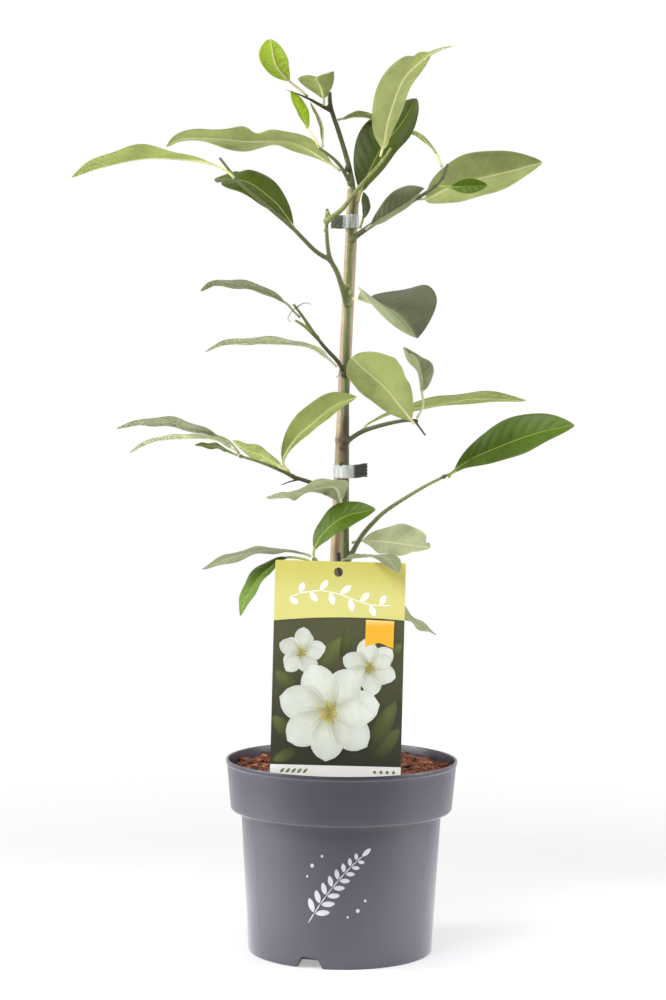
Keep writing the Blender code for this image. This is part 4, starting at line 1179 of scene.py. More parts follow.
@dataclass
class Soil:
    """Coir bed under loose bark chips and fibres, with room for stem, cane and stake."""

    pot: Pot
    top: float = 149.0
    gap: float = 0.4
    relief: float = 2.2
    rings: int = 46
    steps: int = 120
    chips: int = 2300
    fibres: int = 420
    fibre_points: int = 6
    fibre_radius: float = 0.22
    wall_gap: float = 1.2
    hole_top: float = 170.0
    stem_radius: float = 4.4
    # Kept clear of loose pieces: rounds at stem and cane as x, y and radius, and a strip at the label as
    # half of its width and half of its depth
    stem_clear: tuple[float, float, float] = (3.0, -4.0, 7.0)
    cane_clear: tuple[float, float, float] = (-13.0, 5.5, 8.0)
    label_clear: Flat = (55.0, 4.0)
    coir: CoirFinish = CoirFinish()

    def ground(self, x: float, y: float) -> float:
        """Height of the bed at a place, mm."""
        seed = Vector((x, y, 0)) * 0.07
        rough = noise.noise(seed) + 0.5 * noise.noise(seed * 2.3)
        fine = noise.noise(Vector((x, y, 7)) * 0.32)
        return self.top + self.relief * rough + 1.1 * fine

    def bed(self, material: Material) -> Thing:
        """Fill of the pot with a lumpy top."""
        edge = self.pot.rim - self.pot.wall - 1.4
        rim = [(edge * k / self.rings, self.top) for k in range(self.rings + 1)]
        side = self.pot.inner(self.gap)[:-1]
        shape = lathe(rim + [(edge - 0.3, self.top - 4)] + list(reversed(side)), self.steps)
        for vert in shape.verts:
            if vert.co.z > (self.top - 1) * MM:
                vert.co.z = self.ground(vert.co.x / MM, vert.co.y / MM) * MM
        piece = settle("soil_bed", shape, material)
        cut(piece, self.holes())
        piece.data.set_sharp_from_angle(angle=math.radians(80))
        return clothe(piece, "coir_soil", "soil")

    def holes(self) -> list[Thing]:
        """Shapes that keep the bed clear of the stem, the cane and the label's stake."""
        cane = Cane()
        heart = [(2.0, -3.0, 107.6), (2.0, -3.0, 108), (3.1, -4, 157), (2.9, -4, self.hole_top)]
        stem = smooth_path(heart, 8.0)
        pole = [cane.centre(height) for height in (cane.foot - 0.4, 110, self.hole_top)]
        cutters = []
        for name, path, radius in (("stem_hole", stem, self.stem_radius + 0.6),
                                   ("cane_hole", pole, cane.radius + 0.5)):
            tube = strands(name, [(path, [radius] * len(path))], 4)
            cutters.append(settle(name, opened(tube)))
        label = Label()
        wide, down = label.stake_width / 2 + 0.4, label.stake_length
        outline = [(-wide, 20), (-wide, -down * 0.6), (0, -down - 0.8), (wide, -down * 0.6), (wide, 20)]
        slot = flat_plate([outline], label.thick * 2)
        bmesh.ops.transform(slot, verts=slot.verts, matrix=label.place())
        return cutters + [settle("stake_slot", slot)]

    def free_spot(self, draw: random.Random, margin: float) -> Flat:
        """Random place on the bed clear of stem, cane and label."""
        label = Label()
        rounds = (self.stem_clear, self.cane_clear)
        wide, deep = self.label_clear
        while True:
            radius = (self.pot.rim - self.pot.wall - margin) * math.sqrt(draw.random())
            turn = draw.uniform(0, 2 * math.pi)
            x, y = radius * math.cos(turn), radius * math.sin(turn)
            clear = all(math.hypot(x - a, y - b) > radius for a, b, radius in rounds)
            if clear and not (abs(x - label.middle) < wide and abs(y + label.front) < deep):
                return x, y

    def chip_layer(self, material: Material) -> Thing:
        """Loose bark chips in one piece, each a bent flake with its own tint."""
        draw = random.Random(21)
        whole = bmesh.new()
        tint = whole.verts.layers.float.new("chip")
        for _ in range(self.chips):
            x, y = self.free_spot(draw, 3.5)
            size = draw.uniform(1.4, 4.0)
            made = bmesh.ops.create_icosphere(whole, subdivisions=1, radius=1.0)["verts"]
            stretch = Vector((size * draw.uniform(1.0, 2.2), size * draw.uniform(0.5, 0.9), size * 0.42))
            turn = Euler((draw.uniform(-0.9, 0.9), draw.uniform(-0.7, 0.7), draw.uniform(0, 6.3))).to_matrix()
            lift = self.ground(x, y) + draw.uniform(-0.4, 1.6)
            value = min(1.0, max(0.0, draw.gauss(0.5, 0.24)))
            for vert in made:
                jag = 1 + 0.35 * noise.noise(vert.co * 2.1 + Vector((x, y, 0)))
                local = Vector(a * b for a, b in zip(vert.co * jag, stretch))
                spot = turn @ local + Vector((x, y, lift))
                limit = self.pot.rim - self.pot.wall - self.wall_gap
                inside = min(1.0, limit / math.hypot(spot.x, spot.y))
                vert.co = Vector((spot.x * inside, spot.y * inside, spot.z)) * MM
                vert[tint] = value
        return clothe(settle("soil_bark_chips", whole, material, sharp=20.0), "coir_soil")

    def fibre_layer(self, material: Material) -> Thing:
        """Curled coir fibres in one piece."""
        draw = random.Random(22)
        runs = []
        for _ in range(self.fibres):
            x, y = self.free_spot(draw, 7.0)
            heading, bend = draw.uniform(0, 6.3), draw.uniform(-0.5, 0.5)
            length = draw.uniform(5, 13)
            points = []
            for k in range(self.fibre_points):
                arch = 1.6 * math.sin(k * 0.63) * draw.uniform(0.3, 1)
                points.append(Vector((x, y, self.ground(x, y) + 1.4 + arch)))
                x += math.cos(heading) * length / self.fibre_points
                y += math.sin(heading) * length / self.fibre_points
                heading += bend
            if max(math.hypot(p.x, p.y) for p in points) < self.pot.rim - 4:
                runs.append((points, [self.fibre_radius] * self.fibre_points))
        shape = opened(strands("fibres", runs, 0))
        tint = shape.verts.layers.float.new("chip")
        for vert in shape.verts:
            vert[tint] = 0.5 + 0.5 * noise.noise(vert.co * 300)
        return clothe(settle("soil_fibres", shape, material, sharp=80.0), "coir_soil")


class Shoot(NamedTuple):
    """One woody stem: points, radii at both ends, and its age at both ends, 0 fresh to 1 dry and dark."""

    points: Sequence[Point]
    start: float
    end: float
    young: float
    old: float


MAIN_STEM = Shoot([(2.0, -3.0, 108), (3.1, -4, 157), (1.6, -4, 250), (0.9, -4, 338), (0.4, -4, 420),
                   (0.3, -4, 453), (0.2, -4, 486), (1.3, -4, 535), (2.5, -4, 575), (3.1, -4, 600),
                   (4.5, -3, 624), (1.0, -3, 643), (-6.6, -4, 668), (-14.1, -5, 690), (-15.5, -5, 703)],
                  4.4, 1.9, 0.7, 0.45)
SHOOTS = [
    Shoot([(0.5, -5, 530), (-3.7, -9, 545), (-7.9, -12, 557), (-13.3, -14, 567), (-15.8, -15, 579),
           (-16.8, -16, 597), (-16.3, -16, 608)], 2.6, 1.3, 0.45, 0.35),
    Shoot([(-13.3, -14, 566.5), (-26, -18, 574), (-44, -24, 591.5), (-63, -30, 607), (-86, -36, 626),
           (-103, -33, 646.5)], 2.0, 1.2, 0.5, 0.4),
    Shoot([(-17.0, -15, 597), (-13, -18, 600.5), (-3.6, -20, 608), (7.6, -22, 623), (19.5, -25, 636.5),
           (27.5, -28, 645.5), (34.5, -34, 655.5)], 2.3, 1.1, 0.2, 0.1),
    Shoot([(2.5, -3, 629), (-4, -8, 640), (-11, -11, 648), (-21.8, -14, 656)], 2.0, 1.2, 0.5, 0.3),
    Shoot([(-13.5, -5, 687.5), (-24.5, -7, 693), (-30.5, -9, 696)], 1.9, 1.2, 0.8, 0.6),
    Shoot([(-28, -8.5, 695), (-39, -12, 699.5), (-51, -14, 703.5)], 1.3, 0.4, 0.9, 0.7),
    Shoot([(3.5, -3, 584), (22.5, -5, 597.5), (43, -8, 609.5), (59, -10, 619), (70, -11, 626.5),
           (77, -11, 634.5), (81, -11, 645.5)], 2.5, 1.2, 0.5, 0.5),
    Shoot([(0, -4, 473), (-6, -9, 484), (-14.5, -13, 493), (-23, -16, 503), (-36, -19, 521.5),
           (-43, -20, 530.5)], 2.0, 1.1, 0.9, 0.3),
    Shoot([(-22, -15.5, 502), (-34, -19, 513), (-41.5, -21, 517.5)], 1.6, 1.2, 0.2, 0.0),
    Shoot([(1, -4, 419), (14.5, -7, 428), (35, -11, 434.5), (51, -14, 437.5), (58, -15, 436.5)],
          2.2, 1.5, 0.5, 0.6),
    Shoot([(56.5, -15, 437), (65.5, -16, 425)], 1.1, 0.8, 0.8, 0.9),
    Shoot([(1.5, -4, 317), (13, -8, 340), (24, -11, 354), (36, -13, 365), (62, -17, 382),
           (80.5, -20, 392), (96, -22, 399.5)], 2.4, 1.1, 0.4, 0.12),
    Shoot([(0, -4, 373), (-22.5, -11, 384), (-41.5, -15, 390.5), (-49.5, -16, 394.5), (-66.5, -18, 401.5),
           (-84.5, -20, 407)], 2.2, 1.2, 1.2, 0.1),
    Shoot([(-38, -14, 388), (-45, -17, 386.5), (-51, -20, 384)], 0.9, 0.6, 0.9, 0.9),
    Shoot([(1, -4, 286), (-11, -16, 309), (-23.5, -25, 324)], 2.2, 1.6, 0.5, 0.3),
    Shoot([(0.5, -5, 300), (-3.4, -13, 315), (-4.4, -14, 329)], 2.4, 2.0, 1.0, 1.0),
]
# Buds and leaf scars on the wood: place, radius and age
KNOBS = [
    ((3.5, -7.0, 540), 2.6, 0.05), ((-0.5, -7.5, 546), 1.8, 0.1), ((3.0, -7.2, 531), 1.8, 0.1),
    ((-16.8, -16, 598), 2.9, 0.0), ((-15.8, -17, 604), 2.0, 0.05), ((-13.2, -18, 600.5), 2.5, 0.05),
    ((-17.2, -16, 590.5), 2.0, 0.1), ((0.3, -4.6, 641.5), 3.0, 0.85), ((-13.3, -14.4, 566), 2.4, 0.6),
    ((4.5, -4.0, 584), 3.6, 0.4), ((0.3, -4.6, 420), 4.4, 0.9), ((-3.0, -7.5, 414), 2.0, 0.95),
    ((-3.2, -7.5, 401), 1.8, 0.9), ((-22.5, -14.2, 656), 1.7, 0.3), ((-15.2, -5.0, 691), 2.5, 0.7),
    ((-1.5, -5.5, 474), 2.8, 0.9), ((-23.5, -16, 504), 2.0, 0.4), ((-42.5, -15.2, 391), 2.2, 0.9),
    ((-84.5, -20, 407), 1.9, 0.4), ((57.5, -15, 436.8), 2.1, 0.6), ((80.5, -20.2, 392), 2.0, 0.8),
    ((77.0, -11, 634.5), 1.9, 0.5), ((-24.0, -25, 324), 2.2, 0.2), ((2.5, -3.4, 629.5), 3.1, 0.5),
    ((1.4, -4.6, 318), 4.8, 0.7), ((27.5, -28, 646), 1.8, 0.1), ((70.5, -11, 627), 1.9, 0.6),
    ((-90, -36.4, 630), 1.7, 0.5),
]


@dataclass(frozen=True)
class BarkFinish:
    """Skin of the stems, from fresh green to dry brown, read from each place's age."""

    fresh: Colour = (0.40, 0.43, 0.12)
    green: Colour = (0.17, 0.20, 0.06)
    olive: Colour = (0.085, 0.092, 0.040)
    brown: Colour = (0.080, 0.052, 0.026)
    dry: Colour = (0.028, 0.022, 0.017)

    def build(self, mottle: Tree) -> Material:
        """Material with lengthwise streaks and small pale pores."""
        finish = new_finish("stem_bark")
        sketch = finish.sketch
        place = sketch.object_place()
        drawn = sketch.add("Mapping", place, None, None, (1.0, 1.0, 0.12)).outputs[0]
        streak = place_group(sketch, mottle, Vector=drawn, Patch_Scale=420.0, Grain_Scale=1500.0)
        drift = sketch.math("MULTIPLY_ADD", sketch.grain(place, 60.0), 0.3, -0.15)
        age = sketch.math("ADD", sketch.attribute("age"), drift)
        body = sketch.ramp(age, ((0.0, self.fresh), (0.3, self.green), (0.6, self.olive), (0.85, self.brown),
                                 (1.0, self.dry)))
        low = dimmed(self.olive, 0.5)
        body = sketch.wash(body, low, streak.outputs["Patches"], 0.35)
        cells = sketch.add("TexVoronoi", place, None, 420.0)
        pore = sketch.rest(sketch.step(cells.outputs["Distance"], 0.10, 0.22))
        body = sketch.wash(body, self.fresh, pore, 0.15)
        rough = sketch.math("MULTIPLY_ADD", streak.outputs["Patches"], 0.2, 0.42)
        rise = sketch.math("ADD", streak.outputs["Patches"], sketch.times(pore, 0.7))
        finish.set(Base_Color=body, Roughness=rough, Normal=sketch.bump(rise, 0.00012, 0.5))
        return finish.material


@dataclass
class Wood:
    """Main stem with its shoots and buds, melted into one skin."""

    voxel: float = 0.55
    spacing: float = 4.0
    smoothings: int = 3
    curl_radius: float = 0.42
    curl_age: float = 0.75
    # Heights up the main stem and the skin's age there
    ages: tuple[Flat, ...] = ((110, 0.6), (330, 0.42), (385, 0.5), (425, 0.8), (450, 0.42), (520, 0.28),
                              (590, 0.3), (640, 0.42), (690, 0.6), (705, 0.7))
    bark: BarkFinish = BarkFinish()

    def runs(self) -> list[tuple[list[Vector], list[float], list[float]]]:
        """Centre lines of every stem with radii and ages."""
        made = []
        for shoot in [MAIN_STEM] + SHOOTS:
            path = smooth_path(shoot.points, self.spacing)
            count = len(path) - 1
            radii, ages = [], []
            for k, place in enumerate(path):
                share = k / count
                ripple = 1 + 0.05 * noise.noise(place * 0.09)
                radii.append((shoot.start + (shoot.end - shoot.start) * share) * ripple)
                ages.append(shoot.young + (shoot.old - shoot.young) * share)
            made.append((path, radii, ages))
        return made

    def main_age(self, height: float) -> float:
        """Age of the main stem's skin at a height: brown low down, green above, darker at the crown."""
        for (low, a), (high, b) in zip(self.ages, self.ages[1:]):
            if height <= high:
                return a + (b - a) * max(0.0, height - low) / (high - low)
        return self.ages[-1][1]

    def build(self, material: Material) -> Thing:
        """Join all stems by a voxel remesh, smooth the joints, and mark each place's age."""
        runs = self.runs()
        shape = opened(strands("wood", [(path, radii) for path, radii, _ in runs], 3))
        for place, radius, _ in KNOBS:
            knob = bmesh.ops.create_icosphere(shape, subdivisions=2, radius=radius * MM)["verts"]
            bmesh.ops.translate(shape, verts=knob, vec=Vector(place) * MM)
        piece = settle("stem_and_shoots", shape, material)
        melt = piece.modifiers.new("melt", "REMESH")
        melt.mode = "VOXEL"
        melt.voxel_size = self.voxel * MM
        melt.adaptivity = 0.0
        bake_modifiers(piece)
        shape = opened(piece.data)
        for _ in range(self.smoothings):
            bmesh.ops.smooth_vert(shape, verts=shape.verts, factor=0.5, use_axis_x=True, use_axis_y=True,
                                  use_axis_z=True)
        marks = [(place, age if index else self.main_age(place.z), radius)
                 for index, (path, radii, ages) in enumerate(runs)
                 for place, radius, age in zip(path, radii, ages)]
        marks += [(Vector(place), age, radius) for place, radius, age in KNOBS]
        tree = KDTree(len(marks))
        for index, (place, _, _) in enumerate(marks):
            tree.insert(place, index)
        tree.balance()
        layer = shape.verts.layers.float.new("age")
        for vert in shape.verts:
            total = weight = 0.0
            for _, index, distance in tree.find_n(vert.co / MM, 4):
                near = 1 / max(0.2, distance - marks[index][2] + 1.0) ** 2
                total += near * marks[index][1]
                weight += near
            vert[layer] = total / weight
        shape.to_mesh(piece.data)
        shape.free()
        piece.data.materials.clear()
        piece.data.materials.append(material)
        piece.data.shade_smooth()
        return clothe(piece, "stem_bark", "main_stem")

    def tendrils(self, material: Material) -> Thing:
        """Dry curls left at the nodes."""
        curls = [
            [(-39.2, -20, 529), (-43.2, -20.5, 525.7), (-45.6, -21, 522.5), (-47.2, -20, 518.4),
             (-44.7, -19.5, 516)],
            [(-40.8, -20, 527.4), (-36, -21, 530.7), (-31.9, -21.5, 531.5), (-28.7, -21, 530.3)],
            [(-3.9, -8, 479.3), (-4.6, -8.6, 475.3), (-6.2, -8.8, 472.8), (-7.8, -8.4, 471.2)],
        ]
        runs = []
        for curl in curls:
            path = smooth_path(curl, 0.8)
            runs.append((path, [self.curl_radius - 0.22 * k / len(path) for k in range(len(path))]))
        shape = opened(strands("curls", runs, 1))
        layer = shape.verts.layers.float.new("age")
        for vert in shape.verts:
            vert[layer] = self.curl_age
        return clothe(settle("dry_curls", shape, material), "stem_bark")


@dataclass(frozen=True)
class BambooFinish:
    """Dry tan cane with lengthwise fibres and stained nodes."""

    tan: Colour = (0.38, 0.27, 0.15)
    pale: Colour = (0.52, 0.40, 0.25)
    stain: Colour = (0.22, 0.09, 0.05)

    def build(self, mottle: Tree) -> Material:
        """Material with drawn-out fibres and darker rings at the nodes."""
        finish = new_finish("bamboo")
        sketch = finish.sketch
        place = sketch.object_place()
        drawn = sketch.add("Mapping", place, None, None, (1.0, 1.0, 0.04)).outputs[0]
        fibre = place_group(sketch, mottle, Vector=drawn, Patch_Scale=500.0, Grain_Scale=1800.0)
        patch = place_group(sketch, mottle, Vector=place, Patch_Scale=55.0, Grain_Scale=400.0)
        body = sketch.blend(fibre.outputs["Patches"], self.tan, self.pale)
        low = dimmed(self.tan, 0.62)
        body = sketch.wash(body, low, patch.outputs["Patches"], 0.4)
        mark = sketch.attribute("node")
        stain = sketch.times(mark, sketch.math("MULTIPLY_ADD", patch.outputs["Grain"], 0.5, 0.6))
        body = sketch.blend(stain, body, self.stain)
        rough = sketch.math("MULTIPLY_ADD", fibre.outputs["Patches"], 0.15, 0.38)
        rise = sketch.bump(fibre.outputs["Patches"], 0.0002, 0.5)
        finish.set(Base_Color=body, Roughness=rough, Normal=rise)
        return finish.material


@dataclass
class Cane:
    """Straight bamboo cane with raised nodes and a hollow top."""

    radius: float = 4.9
    foot: float = 52.0
    top: float = 626.0
    depth: float = 5.5
    lean: float = 0.0374
    axis_x: float = -18.5
    nodes: tuple[float, ...] = (228.0, 420.0, 598.0)
    # A node's outline: height from its middle and rise over the cane's radius
    node_outline: tuple[Flat, ...] = ((-9, 0.0), (-3.2, -0.12), (-1.4, 0.3), (-0.5, 0.42), (0.3, 0.1),
                                      (0.9, 0.5), (1.8, 0.35), (3.4, 0.05), (9, 0.0))
    bore: float = 2.3
    mouth: float = 2.6
    bore_depth: float = 9.0
    sides: int = 28
    bamboo: BambooFinish = BambooFinish()

    def centre(self, height: float) -> Vector:
        """Centre of the cane at a height, mm."""
        return Vector((self.axis_x + self.lean * height, self.depth, height))

    def build(self, material: Material) -> Thing:
        """Turn the cane upright, then lean it."""
        profile = [(0, self.foot), (self.radius - 0.4, self.foot), (self.radius, self.foot + 0.8)]
        for node in self.nodes:
            profile += [(self.radius + rise, node + offset) for offset, rise in self.node_outline]
        profile += [(self.radius, self.top - 0.7), (self.radius - 0.5, self.top), (self.mouth, self.top),
                    (self.bore, self.top - 0.4), (self.bore, self.top - self.bore_depth),
                    (0, self.top - self.bore_depth)]
        shape = lathe(ringed(profile, 14.0), self.sides)
        layer = shape.verts.layers.float.new("node")
        for vert in shape.verts:
            height = vert.co.z / MM
            arm = Vector((vert.co.x, vert.co.y, 0))
            ripple = 1 + 0.02 * noise.noise(Vector((vert.co.x * 90, vert.co.y * 90, height * 0.02)))
            vert[layer] = max(math.exp(-((height - node) / 2.6) ** 2) for node in self.nodes)
            vert.co = arm * ripple + self.centre(height) * MM
        return clothe(settle("cane", shape, material), "bamboo", "bamboo_cane")


@dataclass(frozen=True)
class TapeFinish:
    """Thin clear tape, grey where its two ends lie together, with painted glare along its creases."""

    clear: Colour = (0.72, 0.76, 0.74)
    tail: Colour = (0.19, 0.21, 0.16)

    def build(self, name: str) -> Material:
        """Material that turns from clear to grey by the tail value."""
        finish = new_finish(name)
        sketch = finish.sketch
        place = sketch.object_place()
        tail = sketch.attribute("tail")
        drawn = sketch.add("Mapping", place, None, None, (1.0, 1.0, 0.15)).outputs[0]
        crease = sketch.step(sketch.grain(drawn, 260.0, 1.0), 0.35, 0.65)
        body = sketch.blend(tail, self.clear, self.tail)
        # Partly painted highlight: the pale tape is made more opaque along the creases, standing for both the
        # creases' own haze and glare on the tape
        haze_and_glare = sketch.math("MULTIPLY_ADD", crease, 0.45, 0.3)
        finish.set(Base_Color=body, Roughness=0.25, Normal=sketch.bump(crease, 0.0004, 0.5))
        finish.set(Alpha=sketch.math("MAXIMUM", haze_and_glare, sketch.times(tail, 0.9)))
        return finish.material


@dataclass
class Tie:
    """Band of tape drawn round stem and cane, with its ends stuck together in a tail."""

    name: str
    node: str
    height: float
    stem: Flat
    stem_radius: float
    tail_end: Flat
    to_left: bool
    cane: Cane
    tall: float = 11.0
    clearance: float = 0.75
    tape: float = 0.3
    ring_steps: int = 72
    tail_steps: int = 12
    rows: int = 8
    tail_half_gap: float = 0.32
    crease: float = 0.25
    zigzag: float = 0.9
    fan: float = 1.4

    def loop(self) -> list[Vector]:
        """Path of the band round both, seen from above, starting and ending at the tail."""
        cane = self.cane.centre(self.height)
        centres = [Vector(self.stem), Vector((cane.x, cane.y))]
        radii = [self.stem_radius + self.clearance, self.cane.radius + 0.2 + self.clearance]
        begin = math.pi if self.to_left else 0.0
        path = []
        for k in range(self.ring_steps + 1):
            angle = begin + 2 * math.pi * k / self.ring_steps
            aim = Vector((math.cos(angle), math.sin(angle)))
            reach = [c.dot(aim) + r for c, r in zip(centres, radii)]
            index = 0 if reach[0] > reach[1] else 1
            path.append(centres[index] + radii[index] * aim)
        return path

    def build(self, material: Material) -> Thing:
        """Loft the tape along its path, crease it and cut its end in a zigzag."""
        ring = self.loop()
        end = Vector(self.tail_end)
        root = ring[0]
        count = self.tail_steps
        out = [root.lerp(end, k / count) for k in range(1, count + 1)]
        away = (end - root).normalized()
        side = Vector((-away.y, away.x)) * self.tail_half_gap
        path = [p + side for p in reversed(out)] + ring + [p - side for p in out]
        last = len(path) - 1
        shape = bmesh.new()
        bmesh.ops.create_grid(shape, x_segments=last, y_segments=self.rows, size=1.0)
        layer = shape.verts.layers.float.new("tail")
        for vert in shape.verts:
            index = round((vert.co.x + 1) / 2 * last)
            level = vert.co.y
            place = path[index]
            share = max(count - index, index - (last - count), 0) / count
            crease = self.crease * noise.noise(Vector((index * 0.35, level * 2.1, 3.0)))
            teeth = self.zigzag * abs((level * 4) % 2 - 1) - self.zigzag
            flare = away * teeth * (1 if share > 0.99 else 0)
            normal = Vector((place - Vector(self.stem)).normalized()) if share == 0 else Vector((0, 0))
            spot = place + normal * crease * 0.4 + flare
            curl = noise.noise(Vector((share * 2, 5, level)))
            rise = level * self.tall / 2 + self.fan * share * level * curl
            lift = -0.8 * share if self.to_left else 1.2 * share
            bend = crease * 0.3 * min(1, share * 3)
            vert.co = Vector((spot.x, spot.y + bend, self.height + rise + lift)) * MM
            vert[layer] = min(1.0, share * 4)
        bmesh.ops.recalc_face_normals(shape, faces=shape.faces)
        piece = settle(self.name, shape, material, sharp=60.0)
        solid = piece.modifiers.new("tape", "SOLIDIFY")
        solid.thickness = self.tape * MM
        solid.offset = 0.0
        return clothe(piece, "tie_tape", self.node)


@dataclass
class Label:
    """Tall card label on a stake, with a yellow head and a dark picture ground."""

    width: float = 104.0
    height: float = 172.0
    foot: float = 153.5
    thick: float = 0.8
    front: float = 70.0
    back_tilt: float = 2.67
    side_tilt: float = 0.9
    middle: float = -5.4
    corner: float = 1.5
    hole: Flat = (-1.6, 163.5)
    hole_radius: float = 3.7
    stake_width: float = 26.0
    stake_length: float = 62.0
    film: float = 0.05
    band_foot: float = 9.5
    arch_steps: int = 24
    picture_sides: tuple[float, float, float] = (123.6, 127.3, 126.0)

    def place(self) -> Matrix:
        """Matrix from the card's own axes to the plant's."""
        stand = Matrix.Rotation(math.radians(90), 4, "X")
        tilt = Matrix.Rotation(math.radians(-self.back_tilt), 4, "X")
        lean = Matrix.Rotation(math.radians(self.side_tilt), 4, "Y")
        spot = Matrix.Translation(Vector((self.middle, -self.front, self.foot)) * MM)
        return spot @ tilt @ lean @ stand

    def card(self, material: Material) -> Thing:
        """White card with rounded corners, a punched hole and a pointed stake."""
        side, c = self.width / 2 - self.corner, self.corner
        outline = arc_points((side, c), c, -90, 0, 5) + self.top_corners()
        outline += arc_points((-side, c), c, 180, 270, 5)
        w, down = self.stake_width / 2, self.stake_length
        outline += [(-w, 0), (-w, -down * 0.6), (0, -down), (w, -down * 0.6), (w, 0)]
        plate = flat_plate([outline, self.punch(0.0)], self.thick)
        return self.finish_piece("label_card", plate, 0, material, "plant_label")

    def top_corners(self) -> list[Flat]:
        """Rounded upper corners, the right one first."""
        side, top, c = self.width / 2 - self.corner, self.height - self.corner, self.corner
        return arc_points((side, top), c, 0, 90, 5) + arc_points((-side, top), c, 90, 180, 5)

    def punch(self, slack: float) -> list[Flat]:
        """Outline of the punched hole, wider by a slack."""
        return arc_points(self.hole, self.hole_radius + slack, 0, 352.5, 48)

    def finish_piece(self, name: str, shape: Shape, layer: int, material: Material, *nodes: str) -> Thing:
        """Map a flat shape, lift it to its printed layer and stand it on the card.

        Args:
            name: the piece's name.
            shape: flat mesh in the card's own axes, metres.
            layer: how many films lie under it, 0 for the card itself.
            material: its material.
            *nodes: solids it stands for.

        Returns:
            The finished piece.
        """
        chart = shape.loops.layers.uv.new("card_map")
        for face in shape.faces:
            for loop in face.loops:
                loop[chart].uv = (loop.vert.co.x / MM / self.width + 0.5, loop.vert.co.y / MM / self.height)
        if layer:
            lift = Vector((0, 0, (self.thick / 2 + self.film * (layer - 0.4)) * MM))
            bmesh.ops.translate(shape, verts=shape.verts, vec=lift)
        bmesh.ops.transform(shape, verts=shape.verts, matrix=self.place())
        return clothe(settle(name, shape, material), "label_card", *nodes)

    def head_line(self, share: float) -> float:
        """Height of the arched line under the yellow head, share 0 left to 1 right."""
        left, middle, right = self.picture_sides
        return (left * 2 * (share - 0.5) * (share - 1) + middle * 4 * share * (1 - share)
                + right * 2 * share * (share - 0.5))

    def arch(self) -> list[Flat]:
        """Points of the arched line from left to right."""
        shares = [k / self.arch_steps for k in range(self.arch_steps + 1)]
        return [(self.width * (share - 0.5), self.head_line(share)) for share in shares]

    def head(self, material: Material) -> Thing:
        """Yellow head of the card down to its arched line."""
        plate = flat_plate([self.arch() + self.top_corners(), self.punch(0.02)], self.film)
        return self.finish_piece("label_head", plate, 1, material)

    def picture(self, material: Material) -> Thing:
        """Dark picture ground between the footer and the arched line."""
        half = self.width / 2
        outline = [(-half, self.band_foot), (half, self.band_foot)] + self.arch()[::-1]
        return self.finish_piece("label_picture", flat_plate([outline], self.film), 1, material)

    def arch_line(self, material: Material) -> Thing:
        """Thin dark line under the head."""
        low = [(x, y - 0.55) for x, y in self.arch()]
        high = [(x, y + 0.75) for x, y in reversed(low)]
        return self.finish_piece("label_arch_line", flat_plate([low + high], self.film), 2, material)

    def ribbon(self, material: Material) -> Thing:
        """Small hanging ribbon with a notched end."""
        outline = [(21.1, 104.6), (32.2, 108.2), (43.6, 103.8), (43.9, 125.6), (21.3, 126.2)]
        return self.finish_piece("label_ribbon", flat_plate([outline], self.film), 14, material)


@dataclass(frozen=True)
class PrintFinish:
    """Glossy printed ink of one colour run, drawn over the card's own map."""

    name: str
    low: Colour
    high: Colour
    start: float = 0.72
    end: float = 1.0
    spread: float = 6.0
    cloud: float = 0.0

    def build(self) -> Material:
        """Material that runs from one colour to the other up the card, with soft clouds."""
        finish = new_finish(self.name)
        sketch = finish.sketch
        chart = sketch.add("UVMap", uv_map="card_map").outputs[0]
        split = sketch.add("SeparateXYZ", chart)
        cloud = sketch.grain(chart, self.spread, 2.0)
        sway = sketch.math("MULTIPLY_ADD", cloud, self.cloud, -self.cloud / 2)
        rise = sketch.math("ADD", split.outputs[1], sway)
        body = sketch.blend(sketch.step(rise, self.start, self.end), self.low, self.high)
        finish.set(Base_Color=body, Roughness=0.3)
        return finish.material


@dataclass(frozen=True)
class PetalFinish:
    """Printed petals and leaves, shaded from their root to their tip by the glow value."""

    name: str
    root: Colour
    middle: Colour
    tip: Colour

    def build(self) -> Material:
        """Material with a dim root, a bright middle, and soft streaks."""
        finish = new_finish(self.name)
        sketch = finish.sketch
        chart = sketch.add("UVMap", uv_map="card_map").outputs[0]
        body = sketch.ramp(sketch.attribute("glow"), ((0.0, self.root), (0.45, self.middle), (1.0, self.tip)))
        streak = sketch.step(sketch.grain(chart, 14.0, 2.0), 0.35, 0.7)
        body = sketch.wash(body, dimmed(self.middle, 0.82), streak, 0.35)
        finish.set(Base_Color=sketch.toned(body, "dim"), Roughness=0.3)
        return finish.material


WHITE_CARD = (0.86, 0.86, 0.84)
DARK_LINE = (0.045, 0.045, 0.032)
CARD_INK = PrintFinish("card_white", WHITE_CARD, WHITE_CARD)
HEAD_INK = PrintFinish("head_yellow", (0.67, 0.64, 0.22), (0.60, 0.55, 0.13), 0.82, 1.0)
GROUND_INK = PrintFinish("picture_ground", (0.030, 0.032, 0.018), (0.080, 0.082, 0.038), 0.1, 0.75, 4.0, 0.6)
LINE_INK = PrintFinish("line_dark", DARK_LINE, DARK_LINE)
RIBBON_INK = PrintFinish("ribbon_orange", (0.91, 0.42, 0.03), (0.93, 0.60, 0.20), 0.70, 0.735)
LEAF_PRINT = PetalFinish("printed_leaf", (0.030, 0.038, 0.012), (0.085, 0.10, 0.030), (0.15, 0.17, 0.055))
PETAL_PRINT = PetalFinish("printed_petal", (0.30, 0.32, 0.14), (0.64, 0.67, 0.58), (0.66, 0.70, 0.65))
GOLD_PRINT = PetalFinish("printed_gold", (0.22, 0.19, 0.04), (0.42, 0.35, 0.08), (0.58, 0.47, 0.14))
CREAM_PRINT = PetalFinish("printed_cream", (0.90, 0.88, 0.66), (0.95, 0.94, 0.82), (0.95, 0.94, 0.86))
GREEN_PRINT = PetalFinish("printed_green", (0.10, 0.20, 0.06), (0.16, 0.26, 0.08), (0.22, 0.32, 0.12))


